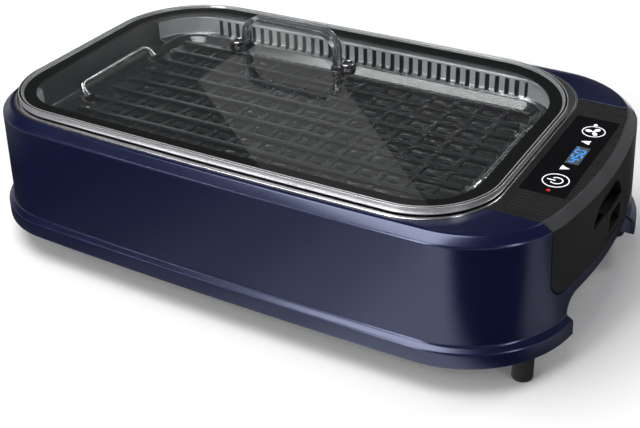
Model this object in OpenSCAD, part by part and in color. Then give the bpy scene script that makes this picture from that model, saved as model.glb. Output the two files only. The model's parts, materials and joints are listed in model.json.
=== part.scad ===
// Electric indoor grill with a lift-off glass lid, built as separate pieces.
// Millimetres, +Z up, origin at the centre of the footprint on the table.
// Front is -Y, the control module is at the +X end.

/* [Base] */
// Length of the deck edge, left end to right end
body_l = 497.4; // [440:1:580]
// Width of the deck edge at the corners
body_w = 275; // [250:1:330]
// How far each long side bulges at its middle
side_bow = 5.9; // [0:0.1:12]
// Plan radius of the right end
right_end_r = 401; // [300:1:900]
// Plan radius of the two right corners
right_corner_r = 72.4; // [50:1:90]
// Plan radius of the left end
left_end_r = 480; // [300:1:900]
// Plan radius of the two left corners
left_corner_r = 60.2; // [45:1:90]
// Wall thickness of the base housing
wall_t = 2.6; // [2:0.1:4]
// Thickness of the deck
deck_t = 4; // [3.4:0.1:6]
// How far the chamfer under the deck edge runs out
chamfer_out = 7; // [3:0.5:10]
// How far the chamfer drops
chamfer_drop = 5.8; // [3:0.1:10]
// How far the wall leans out between chamfer and foot
wall_draft = 3.6; // [0:0.1:6]
// How far the skirt steps out from the wall
skirt_out = 5.2; // [3:0.1:9]
// Height of the skirt
skirt_h = 12.4; // [10:0.2:18]
// Height of the slope from the skirt to the wall
skirt_slope = 3.3; // [2:0.1:8]
// Free space between the bottom cover and the tub
base_void = 29.6; // [24:0.2:50]
// Thickness of the bottom cover
cover_t = 2.5; // [2:0.1:4]
// Height of the bottom cover above the skirt's lower edge
cover_rise = 1.5; // [0.5:0.1:4]

/* [Feet] */
// Height from the table to the skirt
foot_h = 24; // [18:1:40]
// Foot diameter
foot_d = 16; // [13:0.5:24]
// Direction of the feet from the corner centres, in degrees
foot_angle = 33.9; // [25:0.5:60]
// Shaft diameter of the foot screws
foot_screw_d = 4; // [3:0.5:5]

/* [Grip arch] */
// Width of the grip arch in the right end
grip_w = 150; // [110:1:160]
// Height of the grip arch above the skirt's lower edge
grip_h = 30; // [24:1:31]
// Corner radius of the grip arch
grip_r = 14; // [6:1:22]
// Depth of the grip pocket from the deck edge line
grip_depth = 14; // [8:1:24]

/* [Trim ring and tub] */
// Deck width left of the trim ring
left_margin = 7.3; // [4:0.1:12]
// Deck width beside the trim ring at the corners
side_margin = 3.7; // [3:0.1:8]
// Bulge of the trim ring's long sides
trim_bow = 4.5; // [0:0.1:6]
// Outer corner radius of the trim ring
trim_r = 62; // [50:1:80]
// Thickness of the trim ring
trim_t = 1.8; // [1:0.1:2.2]
// Visible width of the trim ring
trim_w = 8; // [6:0.5:9.5]
// Height of the trim ring above the deck
trim_proud = 0.2; // [0:0.1:0.5]
// Sheet thickness of the tub
tub_t = 1.2; // [0.8:0.1:2]
// How far the upper tub wall leans in over its height
tub_lean = 5; // [2:0.5:8]
// Depth of the plate ledge below the deck
ledge_depth = 29.5; // [28:0.5:44]
// Width of the plate ledge
ledge_w = 17; // [15:0.5:20]
// Height of the air slots in the tub's right wall
vent_h = 14; // [8:1:16]
// Width of one air slot
vent_w = 4; // [2:0.5:6]

/* [Smoke guards] */
// Sheet thickness of the guards
guard_t = 1; // [0.8:0.1:1.5]
// Distance from the tub wall to the guard at the ledge
guard_gap = 2.5; // [2:0.5:3.5]
// Height of the upright sheet of a guard
guard_wall_h = 16; // [12:0.5:16]
// Height of the slope at the foot of a guard
guard_slope_h = 4; // [2:0.5:4]
// Height of the upright leg under the slope
guard_leg_h = 3.2; // [1.5:0.1:3.5]
// Free length between the two guards at each end
guard_open = 166; // [140:1:200]
// Number of air slots in the back guard
slot_n = 35; // [10:1:38]
// Distance between air slots
slot_pitch = 9.32; // [7:0.01:10]
// Width of an air slot
slot_w = 4.3; // [2:0.1:6]
// Place of the slot row's middle along X from the lid's middle
slot_x = 5; // [-12:1:12]

/* [Grill plate] */
// Thickness of the plate between its ridges
plate_t = 3; // [2.5:0.1:4]
// Height of the plate's rim above its floor
rim_h = 5; // [4:0.1:6]
// Width of the plate's rim at its top
rim_w = 2; // [1.5:0.1:3]
// How far the rim's inner wall slopes in
rim_slope = 7; // [3:0.5:9]
// Plan corner radius of the plate
plate_r = 28; // [22:1:32]
// Height of the ridges
ridge_h = 4; // [2:0.1:4]
// Width of the ridges
ridge_w = 5.4; // [3:0.1:7]
// Distance between ridges, and between cross bars
ridge_pitch = 22.5; // [20:0.5:30]
// Height of the low cross bars
bar_h = 1.8; // [1:0.1:2]
// Width of the cross bars
bar_w = 4.5; // [3:0.1:6]
// Length of a drain slot
drain_l = 10; // [6:0.5:11]
// Width of a drain slot
drain_w = 3.4; // [2.6:0.1:4]
// Length of the straight part of a plate handle
plate_grip_l = 80; // [60:1:100]
// Diameter of a plate handle's bar
plate_grip_d = 5; // [4:0.1:6]
// Height of a plate handle's bar above the rim
plate_grip_h = 7.2; // [7:0.1:9]

/* [Heating element and drip tray] */
// Diameter of the heating tube
tube_d = 7; // [6:0.5:8]
// Distance from the outer passes of the heating tube to the well's side walls
tube_margin = 28.8; // [20:0.1:43]
// Free height between the tube and the grill plate
tube_gap = 5.5; // [3:0.5:10]
// Free height between the drip tray and the tube
tray_gap = 7.5; // [6:0.5:12]
// Width of a support strap
strap_w = 10; // [6:1:16]
// Thickness of a support strap
strap_t = 1.5; // [1:0.1:2]
// Height of the drip tray
tray_h = 16.7; // [12:0.1:30]
// Sheet thickness of the drip tray
tray_t = 1; // [0.7:0.1:1.5]
// Width of the drip tray's rim
tray_rim = 2.5; // [1.5:0.5:3]
// Corner radius of the drip tray
tray_r = 30; // [12:1:40]
// Length of the element socket block along X
socket_l = 12; // [11:1:14]
// Diameter of the element's contact pins
pin_d = 4; // [3:0.5:4.5]

/* [Lid] */
// How far the lid frame lies inside the trim ring's edge
frame_inset = 1.9; // [1.5:0.1:4]
// Front corner radius of the lid frame
frame_front_r = 61.7; // [50:1:80]
// Back corner radius of the lid frame
frame_back_r = 80; // [55:1:84]
// Bulge of the lid's long sides
frame_bow = 2.5; // [0:0.1:4]
// Height of the lid frame
frame_h = 5.3; // [5:0.1:8]
// Sheet thickness of the lid frame
frame_t = 0.9; // [0.7:0.1:1.1]
// Width of the frame's upper lip
frame_lip = 3; // [2.5:0.1:5]
// Thickness of the glass
glass_t = 3; // [2.5:0.1:3.2]
// Width of the lid gasket
gasket_w = 10; // [8:0.5:11]
// Height of the lid gasket
gasket_h = 2; // [1.8:0.1:2.4]

/* [Lid handle] */
// Place of the handle's middle along X
handle_x = -52; // [-80:1:40]
// Place of the handle's middle along Y
handle_y = 51.5; // [-30:1:58]
// Outer width of the handle's arch
handle_l = 97; // [80:1:130]
// Height of the handle's arch above the glass
handle_h = 33; // [30:1:45]
// Breadth of the handle's arch
handle_b = 18; // [12:1:26]
// Thickness of the handle's arch
handle_t = 6; // [4:0.5:8]
// Outer corner radius of the arch
handle_r = 18; // [12:1:24]
// Distance from the arch to the middle of a foot pad
pad_reach = 7.6; // [7:0.1:12]
// Thickness of a foot pad
pad_t = 4; // [3:0.5:6]
// Diameter of the cap on a foot pad
cap_d = 13; // [10:0.5:14]
// Height of the cap
cap_h = 2.6; // [2:0.1:5]
// Shaft diameter of the handle screws
handle_screw_d = 4; // [3:0.5:4.5]

/* [Control module] */
// Length of the module along X at the deck
module_l = 50.1; // [46:0.1:60]
// Width of the module along Y
module_w = 191; // [186:1:200]
// Depth of the module below the deck
module_d = 61.5; // [61:0.5:63]
// Lower corner radius of the module's side
module_r = 15; // [6:1:24]
// Wall thickness of the module's housing
module_t = 2.4; // [1.8:0.1:3]
// Width of the seam round the module
seam = 0.8; // [0.6:0.1:1.5]
// Thickness of the ribbed top
top_t = 2.6; // [2.2:0.1:3.2]
// Distance between the ribs of the top
rib_pitch = 4.3; // [3:0.1:8]
// Depth of the grooves between the ribs
rib_depth = 0.8; // [0.4:0.1:1.2]
// Width of the plain strip beside the lid
strip_w = 6; // [4:0.5:8]
// Thickness of the cradle under the module
cradle_t = 3; // [2.5:0.1:3.2]
// Radius of the finger scoop in the module's side
scoop_r = 33; // [24:1:36]
// Depth of the finger scoop
scoop_depth = 8; // [5:0.5:10]

/* [Touch panel] */
// Length of the touch glass along Y
panel_l = 128; // [110:1:140]
// Width of the touch glass along X
panel_w = 34; // [30:1:36]
// Place of the touch glass's middle along Y
panel_y = 4; // [-10:1:10]
// Distance from the module's inner edge to the touch glass
panel_edge = 5.6; // [3:0.1:6]
// Thickness of the touch glass
panel_t = 1.8; // [1.2:0.1:2.2]
// How deep the touch glass lies below the deck
panel_sink = 0.4; // [0.2:0.1:0.8]
// Length of the display along Y
display_l = 28; // [20:1:34]
// Width of the display along X
display_w = 10.5; // [8:0.5:14]
// Radius of the two round icons
icon_r = 9; // [7:0.5:11]
// Line width of the icons
icon_line = 1.1; // [0.6:0.1:1.6]
// Height of the inlaid icons
icon_t = 0.2; // [0.1:0.05:0.4]

/* [Fan] */
// Outer radius of the fan wheel
wheel_r = 18; // [14:0.5:18.5]
// Width of the fan wheel along X
wheel_w = 15; // [10:0.5:16]
// Number of fan blades
blade_n = 20; // [10:1:30]
// Free space round the fan wheel
wheel_gap = 1.6; // [1:0.1:2]
// Wall thickness of the fan casing
scroll_t = 1.6; // [1:0.1:2]
// Place of the fan's middle along Y
fan_y = 57; // [56:1:62]
// Diameter of the fan shaft
shaft_d = 3; // [2:0.5:4]
// Diameter of the fan motor
motor_d = 25; // [18:1:28]
// Length of the fan motor
motor_l = 13; // [9:0.5:14]

/* [Power inlet] */
// Width of the inlet plate
inlet_w = 42; // [36:1:46]
// Height of the inlet plate
inlet_h = 24; // [22:0.5:24]
// Depth of the inlet's body
inlet_d = 24; // [20:1:26]
// Width of the socket in the inlet
cavity_w = 26; // [22:1:28]
// Height of the socket in the inlet
cavity_h = 17; // [14:0.5:18]
// Depth of the socket in the inlet
cavity_d = 18; // [14:0.5:19]
// Place of the inlet's middle along Y
inlet_y = 9; // [0:1:12]

/* [Hidden] */
$fn = 64;

// Clearance of parts that fit together, and of parts that lift out
fit = 0.3;
loose = 0.5;
eps = 0.01;
big = 1200;

// Heights, from the table up
skirt_z = foot_h;
cover_z = skirt_z + cover_rise;
cover_top = cover_z + cover_t;
tub_bottom = cover_top + base_void;
tub_floor = tub_bottom + tub_t;
tray_z = tub_floor + fit;
tray_top = tray_z + tray_h;
tube_z = tray_top + tray_gap + tube_d / 2;
plate_z = tube_z + tube_d / 2 + tube_gap;
ledge_z = plate_z - fit;
deck_z = ledge_z + ledge_depth;
trim_top = deck_z + trim_proud;
trim_z = trim_top - trim_t;
rebate_z = trim_z - tub_t;
chamfer_z = deck_z - chamfer_drop;
skirt_top = skirt_z + skirt_h;
wall_z = skirt_top + skirt_slope;
module_z = deck_z - module_d;

// Offsets of the outer wall from the deck edge
chamfer_off = chamfer_out;
wall_off = chamfer_out + wall_draft;
skirt_off = wall_off + skirt_out;

// Plan of the trim ring, from which the lid and the tub follow
lid_cx = (left_margin - module_l) / 2;
trim_a = (body_l - left_margin - module_l) / 2;
trim_b = body_w / 2 - side_margin;

// Plan of the plate ledge and what lies on it and under it
tub_draft = 4;
plate_seat_x = 6;
well_r = 26;
plate_seat_y = 7.6;
tub_a = trim_a - trim_w;
tub_b = trim_b - trim_w;
tub_r = trim_r - trim_w;
ledge_a = tub_a - tub_lean;
ledge_b = tub_b - tub_lean;
well_a = ledge_a - ledge_w - 6;
well_b = ledge_b - ledge_w;
plate_a = well_a + plate_seat_x;
plate_b = well_b + plate_seat_y;
tube_pitch = (well_b - tube_margin) / 1.5;
socket_x = lid_cx + well_a - tub_draft - loose - socket_l / 2 - 1.8;
tray_right = socket_x - socket_l / 2 - loose - tray_rim - 1.5;
tray_left = lid_cx - well_a + tray_rim + 3;
tray_cx = (tray_right + tray_left) / 2;
tray_l = tray_right - tray_left;
strap_b = well_b - tub_draft - loose - strap_t / 2 - fit;
tray_b = strap_b - strap_t / 2 - tray_rim - 1.5;

// Plan of the lid frame
frame_a = trim_a - frame_inset;
frame_b = trim_b - frame_inset - 1.8;
gasket_z = trim_top + fit;
frame_z = gasket_z + 0.6;
frame_top = frame_z + frame_h;
glass_z = gasket_z + gasket_h;
glass_top = glass_z + glass_t;

// Plan and heights of the module
module_x = body_l / 2 - module_l;
inner_x = module_x + 1.9;
room_x = inner_x + module_t;
module_hw = module_w / 2;
floor_top = module_z + module_t;
panel_x = module_x + panel_edge + panel_w / 2;
panel_top = deck_z - panel_sink;
panel_z = panel_top - panel_t;
display_y = panel_y + 0.5;
fan_icon_y = panel_y + 42;
power_icon_y = panel_y - 42;
icon_x = panel_x + 2.5;
board_t = 1.6;
board_z = panel_z - 11;
fan_r = wheel_r + wheel_gap + scroll_t;
fan_z = floor_top + fit + fan_r;
grille_t = 1.4;
grille_x = room_x + 0.2;
fan_x = grille_x + grille_t + 0.2;
fan_w = wheel_w + 2 * wheel_gap;
motor_x = fan_x + fan_w + scroll_t;
inlet_z = floor_top + fit + inlet_h / 2;
inlet_face = body_l / 2 + wall_off - 2.2;
post_d = 7;
post_y = module_hw - 11.5;
post_seat = floor_top + 4;
module_screw_d = 2.6;
module_screw_grip = 8;
contact_x = room_x + 9;
contact_y = -58;
contact_pitch = 9;
connector_h = 14;
cradle_top = module_z - fit;
cradle_z = cradle_top - cradle_t;

// Shift that puts the origin at the middle of the footprint
right_reach = max(body_l / 2 + wall_at(skirt_z + grip_h), body_l / 2 - right_end_r
    + sqrt(pow(right_end_r + skirt_off + 0.5, 2) - pow(grip_w / 2, 2)));
shift_x = (body_l / 2 + skirt_off + 0.5 - right_reach) / 2;

// Points along an arc
function arc_pts(c, r, a0, a1, n) =
    [for (i = [0:n]) let (a = a0 + (a1 - a0) * i / n) c + r * [cos(a), sin(a)]];

// Points between two points, without the ends
function between(p, q, n) = [for (i = [1:n - 1]) p + (q - p) * i / n];

// One end of the body: corner, end and corner arcs, seen from the middle outwards
function end_pts(xe, big_r, r, w) =
    let (d = sqrt(pow(big_r - r, 2) - pow(w - r, 2)),
        a = asin((w - r) / (big_r - r)),
        cx = xe - big_r + d)
    concat(arc_pts([cx, r - w], r, -90, -a, 8),
        [for (i = [1:9]) [xe - big_r, 0] + big_r * [cos(-a + 2 * a * i / 10), sin(-a + 2 * a * i / 10)]],
        arc_pts([cx, w - r], r, a, 90, 8));

// Bulges the long sides of a ring
function bowed(pts, cx, half_l, bow) =
    [for (p = pts) let (q = min(1, abs(p[0] - cx) / half_l))
        [p[0], p[1] + sign(p[1]) * min(1, abs(p[1]) / 60) * bow * (1 - q * q)]];

// Plan of the base at a distance outside its deck edge
function body_ring(off) =
    let (hl = body_l / 2 + off, w = body_w / 2 + off,
        right = end_pts(hl, right_end_r + off, right_corner_r + off, w),
        left_raw = end_pts(hl, left_end_r + off, left_corner_r + off, w),
        n = len(left_raw),
        left = [for (i = [n - 1:-1:0]) [-left_raw[i][0], left_raw[i][1]]])
    bowed(concat(right, between(right[len(right) - 1], left[0], 8), left,
        between(left[n - 1], right[0], 8)), 0, hl, side_bow);

// Rounded rectangle about the lid's middle, with its own front and back corner radius
function lid_ring(a, b, rf, rb, bow) =
    let (se = arc_pts([lid_cx + a - rf, rf - b], rf, -90, 0, 8),
        ne = arc_pts([lid_cx + a - rb, b - rb], rb, 0, 90, 8),
        nw = arc_pts([lid_cx - a + rb, b - rb], rb, 90, 180, 8),
        sw = arc_pts([lid_cx - a + rf, rf - b], rf, 180, 270, 8))
    bowed(concat(se, ne, between(ne[8], nw[0], 6), nw, sw, between(sw[8], se[0], 6)),
        lid_cx, a, bow);

function trim_ring_pts(off) = lid_ring(trim_a + off, trim_b + off, trim_r + off, trim_r + off, trim_bow);
function frame_ring_pts(off) =
    lid_ring(frame_a + off, frame_b + off, frame_front_r + off, frame_back_r + off, frame_bow);
function tub_ring_pts(off) = lid_ring(tub_a + off, tub_b + off, tub_r + off, tub_r + off, trim_bow);

// Solid through a stack of [ring, height] sections, lowest first
module loft(sections) {
    n = len(sections[0][0]);
    m = len(sections);
    points = [for (s = sections) for (p = s[0]) [p[0], p[1], s[1]]];
    sides = [for (k = [0:m - 2]) for (i = [0:n - 1]) let (j = (i + 1) % n)
        each [[k * n + i, (k + 1) * n + i, (k + 1) * n + j], [k * n + i, (k + 1) * n + j, k * n + j]]];
    polyhedron(points, concat([[for (i = [0:n - 1]) i]],
        sides, [[for (i = [n - 1:-1:0]) (m - 1) * n + i]]));
}

// Prism over a ring
module prism(ring, z0, z1) {
    translate([0, 0, z0]) linear_extrude(z1 - z0) polygon(ring);
}

// Rounded rectangle of true arcs
module rounded(l, w, r) {
    square([l - 2 * r, w], center = true);
    square([l, w - 2 * r], center = true);
    for (x = [-1, 1]) for (y = [-1, 1]) translate([x * (l / 2 - r), y * (w / 2 - r)]) circle(r);
}

module place() {
    translate([shift_x, 0, 0]) children();
}

// Cylinder along X
module rod_x(d, x0, x1) {
    translate([x0, 0, 0]) rotate([0, 90, 0]) cylinder(d = d, h = x1 - x0);
}

// Flat shape drawn in Y and Z, given thickness along X
module slab_x(x0, x1) {
    translate([x0, 0, 0]) rotate([90, 0, 90]) linear_extrude(x1 - x0) children();
}

// Screw with a pan head, head down, its head's underside at the origin
module screw(d, length) {
    head_d = 2.1 * d;
    head_h = 0.42 * d;
    rotate_extrude() polygon([[0, -head_h], [head_d / 2 - 0.6, -head_h], [head_d / 2, -head_h + 0.6],
        [head_d / 2, 0], [d / 2, 0], [d / 2, length - 0.5], [d / 2 - 0.5, length], [0, length]]);
}

// Outer form of the base
module outer_form() {
    loft([[body_ring(skirt_off + 0.5), skirt_z], [body_ring(skirt_off), skirt_top],
        [body_ring(wall_off), wall_z], [body_ring(chamfer_off), chamfer_z], [body_ring(0), deck_z]]);
}

// Inner form of the base, a gap away from its walls
module inner_form(gap) {
    in = wall_t + gap;
    loft([[body_ring(skirt_off + 0.5 - in), skirt_z - 1], [body_ring(skirt_off - in), skirt_top - 1.5],
        [body_ring(wall_off - in), wall_z - 1.5], [body_ring(chamfer_off - in), chamfer_z - 1.2],
        [body_ring(-in), deck_z - deck_t - gap]]);
}

// Plan corner of the body, from which the feet are set
function corner_c(sx) =
    let (r = sx > 0 ? right_corner_r : left_corner_r, e = sx > 0 ? right_end_r : left_end_r, w = body_w / 2)
    [body_l / 2 - e + sqrt(pow(e - r, 2) - pow(w - r, 2)), w - r];
function foot_reach(sx) =
    (sx > 0 ? right_corner_r : left_corner_r) + skirt_off + 0.5 - wall_t - foot_d / 2 - 0.7;
function foot_at(sx, sy) =
    let (c = corner_c(sx), p = c + foot_reach(sx) * [cos(foot_angle), sin(foot_angle)])
    [sx * p[0], sy * p[1]];

module at_feet() {
    for (sx = [-1, 1]) for (sy = [-1, 1]) translate(concat(foot_at(sx, sy), 0)) children();
}

// Places of the cover screws, beside the long walls and at the left end
boss_d = 9;
boss_h = 22;
boss_x = body_l / 2 - 118.7;
boss_y = body_w / 2 + wall_off - wall_t - boss_d / 2 + 1;
bosses = [for (x = [-boss_x, 0, boss_x]) for (s = [-1, 1])
    [x, s * (boss_y + side_bow * (1 - pow(x / (body_l / 2), 2)))]];
cover_screw_d = 2.9;
cover_screw_grip = 14;

module at_bosses() {
    for (p = bosses) translate([p[0], p[1], 0]) children();
}

// Section of the module's bay in Y and Z, grown by a gap
module bay_shape(gap) {
    w = module_w + 2 * gap;
    z0 = module_z - gap;
    translate([-w / 2, z0 + module_r]) square([w, deck_z - z0 - module_r + 5]);
    translate([-w / 2 + module_r, z0]) square([w - 2 * module_r, module_r + 1]);
    for (s = [-1, 1]) translate([s * (w / 2 - module_r), z0 + module_r]) circle(module_r);
}

// Section of the grip arch in Y and Z, grown by a gap
module grip_shape(gap) {
    w = grip_w + 2 * gap;
    top = skirt_z + grip_h + gap;
    r = grip_r + gap;
    translate([-w / 2, skirt_z - 3]) square([w, top - r - skirt_z + 3]);
    translate([-w / 2 + r, skirt_z - 3]) square([w - 2 * r, top - skirt_z + 3]);
    for (s = [-1, 1]) translate([s * (w / 2 - r), top - r]) circle(r);
}

grip_x = body_l / 2 - grip_depth;

module base_housing() {
    place() color([0.09, 0.10, 0.20]) {
        difference() {
            outer_form();
            inner_form(0);
            prism(trim_ring_pts(seam), rebate_z, deck_z + 1);
            prism(tub_ring_pts(tub_t + 1.4), deck_z - deck_t - 1, deck_z + 1);
            slab_x(module_x - 8, big) bay_shape(seam);
            slab_x(grip_x, big) grip_shape(0);
        }
        difference() {
            intersection() {
                inner_form(0);
                slab_x(grip_x - wall_t, big) grip_shape(wall_t);
                translate([0, -big / 2, skirt_z]) cube(big);
            }
            slab_x(grip_x, big) grip_shape(0);
        }
        for (p = bosses) translate([p[0], p[1], cover_top + fit]) difference() {
            cylinder(d = boss_d, h = boss_h);
            translate([0, 0, -1]) cylinder(d = cover_screw_d + 0.1, h = boss_h - 4);
        }
    }
}

module bottom_cover() {
    place() color([0.07, 0.07, 0.08]) {
        difference() {
            prism(body_ring(skirt_off - wall_t - fit), cover_z, cover_top);
            slab_x(grip_x - wall_t - fit, big) grip_shape(wall_t + fit);
            at_bosses() translate([0, 0, cover_z - 1]) cylinder(d = 3.6, h = cover_t + 2);
            at_feet() translate([0, 0, cover_z - 1]) cylinder(d = foot_screw_d + 2 * fit, h = cover_t + 2);
            for (i = [-6:6]) translate([grille_x - 60, i * intake_pitch - intake_w / 2, cover_z - 1])
                cube([intake_l, intake_w, cover_t + 2]);
        }
        for (p = shield_posts) translate([p[0], p[1], cover_top])
            cylinder(d = cover_post_d, h = shield_z - cover_top);
        for (p = cradle_posts) translate([p[0], p[1], cover_top])
            cylinder(d = cover_post_d, h = cradle_z - cover_top);
    }
}

// Air intakes of the bottom cover
intake_pitch = 9;
intake_w = 4;
intake_l = 40;

shield_z = tub_bottom - 8;
shield_t = 1;
shield_posts = [for (x = [-0.7, 0, 0.7]) for (s = [-1, 1]) [lid_cx + x * well_a, s * well_b * 0.8]];
cover_post_d = 9;
cradle_post_pitch = 14;
cradle_posts = [for (s = [-1, 1]) for (x = [0, cradle_post_pitch])
    [inner_x + 6 + x, s * (module_hw - cover_post_d)]];

module cover_screws() {
    place() color([0.6, 0.6, 0.62]) at_bosses() translate([0, 0, cover_z])
        screw(cover_screw_d, cover_t + fit + cover_screw_grip);
}

module feet() {
    place() color([0.05, 0.05, 0.05]) at_feet() difference() {
        rotate_extrude() polygon([[0, 0], [foot_d / 2 - 1.2, 0], [foot_d / 2 - 0.35, 0.35],
            [foot_d / 2, 1.2], [foot_d / 2, cover_z], [0, cover_z]]);
        translate([0, 0, -1]) cylinder(d = 9, h = foot_seat + 1);
        translate([0, 0, -1]) cylinder(d = foot_screw_d + 2 * fit, h = cover_z + 2);
    }
}

foot_seat = 14;

module foot_screws() {
    place() color([0.6, 0.6, 0.62]) at_feet() translate([0, 0, foot_seat])
        screw(foot_screw_d, cover_z + cover_t - foot_seat + 5);
}

module trim_ring() {
    place() color([0.8, 0.8, 0.8]) difference() {
        prism(trim_ring_pts(0), trim_z, trim_top);
        prism(tub_ring_pts(0), trim_z - 1, trim_top + 1);
    }
}

// Upper and lower outlines of the tub, outside by a gap
function tub_top(g) = tub_ring_pts(g);
function tub_ledge(g) = lid_ring(ledge_a + g, ledge_b + g, tub_r - 4 + g, tub_r - 4 + g, trim_bow);
function well_top(g) = lid_ring(well_a + g, well_b + g, well_r + g, well_r + g, 0);
function well_floor(g) = lid_ring(well_a - tub_draft + g, well_b - tub_draft + g, well_r - 2 + g, well_r - 2 + g, 0);

module inner_tub() {
    place() color([0.2, 0.2, 0.2]) difference() {
        loft([[well_floor(tub_t), tub_bottom], [well_top(tub_t), ledge_z - tub_t],
            [tub_ledge(tub_t), ledge_z - tub_t], [tub_top(tub_t), rebate_z],
            [trim_ring_pts(-2), rebate_z], [trim_ring_pts(-2), trim_z]]);
        loft([[well_floor(0), tub_floor], [well_top(0), ledge_z], [tub_ledge(0), ledge_z],
            [tub_top(0), trim_z + 1]]);
        for (i = [-6:6]) translate([lid_cx + ledge_a - 8, 9 * i - vent_w / 2, ledge_z + 7])
            cube([30, vent_w, vent_h]);
        for (s = [-1, 1]) translate([socket_x, s * pin_y, tub_bottom - 1]) cylinder(d = 8 + 2 * fit, h = 5);
    }
}

// Sections of a smoke guard, outside by a gap
guard_a = ledge_a - guard_gap;
guard_b = ledge_b - guard_gap;
leg_a = plate_a + 1.8;
leg_b = plate_b + 1.6;
leg_z = ledge_z + fit;
slope_z = leg_z + guard_leg_h;
sheet_z = slope_z + guard_slope_h;
sheet_top = sheet_z + guard_wall_h;
function guard_leg(g) = lid_ring(leg_a + g, leg_b + g, plate_r + 1.7 + g, plate_r + 1.7 + g, 0);
function guard_sheet(g) = lid_ring(guard_a + g, guard_b + g, tub_r - 5 + g, tub_r - 5 + g, trim_bow);
function guard_lip(g) = lid_ring(tub_a - 1.6 + g, tub_b - 1.6 + g, tub_r - 2 + g, tub_r - 2 + g, trim_bow);
lip_z = min(sheet_top + 2.6, trim_z - 1.2);

module guard_band() {
    difference() {
        loft([[guard_leg(0), leg_z], [guard_leg(0), slope_z], [guard_sheet(0), sheet_z],
            [guard_sheet(0), sheet_top], [guard_lip(0), lip_z]]);
        loft([[guard_leg(-guard_t), leg_z - 1], [guard_leg(-guard_t), slope_z + 0.4],
            [guard_sheet(-guard_t), sheet_z + 0.4], [guard_sheet(-guard_t), sheet_top + 0.5],
            [guard_lip(0.4), lip_z + 0.9]]);
    }
}

module smoke_guard_back() {
    place() color([0.78, 0.78, 0.78]) difference() {
        guard_band();
        translate([-big / 2, guard_open / 2 - big, 0]) cube(big);
        for (i = [0:slot_n - 1])
            translate([lid_cx + slot_x + (i - (slot_n - 1) / 2) * slot_pitch - slot_w / 2,
                leg_b + 2, sheet_z - 1.5]) cube([slot_w, 40, guard_wall_h - 0.6]);
    }
}

module smoke_guard_front() {
    place() color([0.78, 0.78, 0.78]) difference() {
        guard_band();
        translate([-big / 2, -guard_open / 2, 0]) cube(big);
    }
}

module heat_shield() {
    place() color([0.7, 0.7, 0.7]) difference() {
        translate([lid_cx, 0, shield_z]) linear_extrude(shield_t)
            rounded(2 * well_a - 8, 2 * well_b - 8, 24);
        for (s = [-1, 1]) translate([socket_x, s * pin_y, shield_z - 1]) cylinder(d = 9, h = 4);
    }
}

// Contact pins of the element stand at plus and minus this place
pin_y = 1.5 * tube_pitch;
socket_h = tray_h + 2;
socket_top = tub_floor + fit + socket_h;

module element_socket() {
    place() color([0.9, 0.88, 0.82]) for (s = [-1, 1]) translate([socket_x, s * pin_y, 0]) difference() {
        union() {
            translate([-socket_l / 2, -9, tub_floor + fit]) cube([socket_l, 18, socket_h]);
            translate([0, 0, tub_bottom - 3]) cylinder(d = 8, h = tub_t + 3 + fit + 1);
        }
        translate([0, 0, tub_floor + 3]) cylinder(d = pin_d + 2 * fit, h = socket_h + 5);
        translate([0, 0, tub_bottom - 4]) cylinder(d = 2.6 + 2 * fit, h = 5);
    }
}

module module_cradle() {
    place() color([0.1, 0.1, 0.11]) difference() {
        intersection() {
            inner_form(fit);
            translate([inner_x - 2, -module_hw + 2, cradle_z]) cube([big, module_w - 4, cradle_t]);
        }
        translate([contact_x - 7, contact_y - 2 * contact_pitch, cradle_z - 1])
            cube([14, 4 * contact_pitch, cradle_t + 2]);
        translate([motor_x - 22, fan_y - 16, cradle_z - 1]) cube([24, 32, cradle_t + 2]);
    }
}

module base_connector() {
    place() color([0.85, 0.83, 0.78]) translate([contact_x - 7 + fit, contact_y - 2 * contact_pitch + fit, 0])
        difference() {
        union() {
            translate([0, 0, cradle_z - 9]) cube([14 - 2 * fit, 4 * contact_pitch - 2 * fit, 9 + cradle_t - 0.5]);
            translate([-3, 3, cradle_z - 3 - fit]) cube([20 - 2 * fit, 4 * contact_pitch - 6 - 2 * fit, 3]);
        }
        for (i = [-1:1]) translate([7 - fit, 2 * contact_pitch - fit + i * contact_pitch, cradle_z - 6])
            cylinder(d = pin_d, h = 40);
    }
}

module base_contacts() {
    place() color([0.8, 0.65, 0.3]) for (i = [-1:1])
        translate([contact_x, contact_y + i * contact_pitch, cradle_z - 6]) {
            cylinder(d = pin_d, h = cradle_t + 6 + fit + 11);
            translate([0, 0, cradle_t + 17 + fit]) sphere(d = pin_d - 0.1);
        }
}

// Two insulated wires from the connector to the element socket, laid under the heat shield
wire_d = 2.6;
wire_z = cover_top + wire_d / 2 + 2;

module wire(y0, y1) {
    translate([contact_x, y0, wire_z]) {
        cylinder(d = wire_d, h = cradle_z - 9 - wire_z);
        sphere(d = wire_d);
    }
    translate([0, y0, wire_z]) rod_x(wire_d, socket_x, contact_x);
    translate([socket_x, min(y0, y1), wire_z]) rotate([-90, 0, 0]) cylinder(d = wire_d, h = abs(y1 - y0));
    translate([socket_x, y0, wire_z]) sphere(d = wire_d);
    translate([socket_x, y1, wire_z]) {
        sphere(d = wire_d);
        cylinder(d = wire_d, h = tub_bottom - wire_z);
    }
}

module base_wiring() {
    place() color([0.75, 0.2, 0.15]) {
        wire(contact_y - contact_pitch, -pin_y);
        wire(contact_y + contact_pitch, pin_y);
    }
}

handle_pads = [for (s = [-1, 1]) [handle_x + s * (handle_l / 2 + pad_reach), handle_y]];

module at_pads(z) {
    for (p = handle_pads) translate([p[0], p[1], z]) children();
}

module lid_glass() {
    place() color([0.75, 0.8, 0.82, 0.35]) difference() {
        prism(frame_ring_pts(-frame_t - 0.1), glass_z, glass_top);
        at_pads(glass_z - 1) cylinder(d = handle_screw_d + 2, h = glass_t + 2);
    }
}

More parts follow.
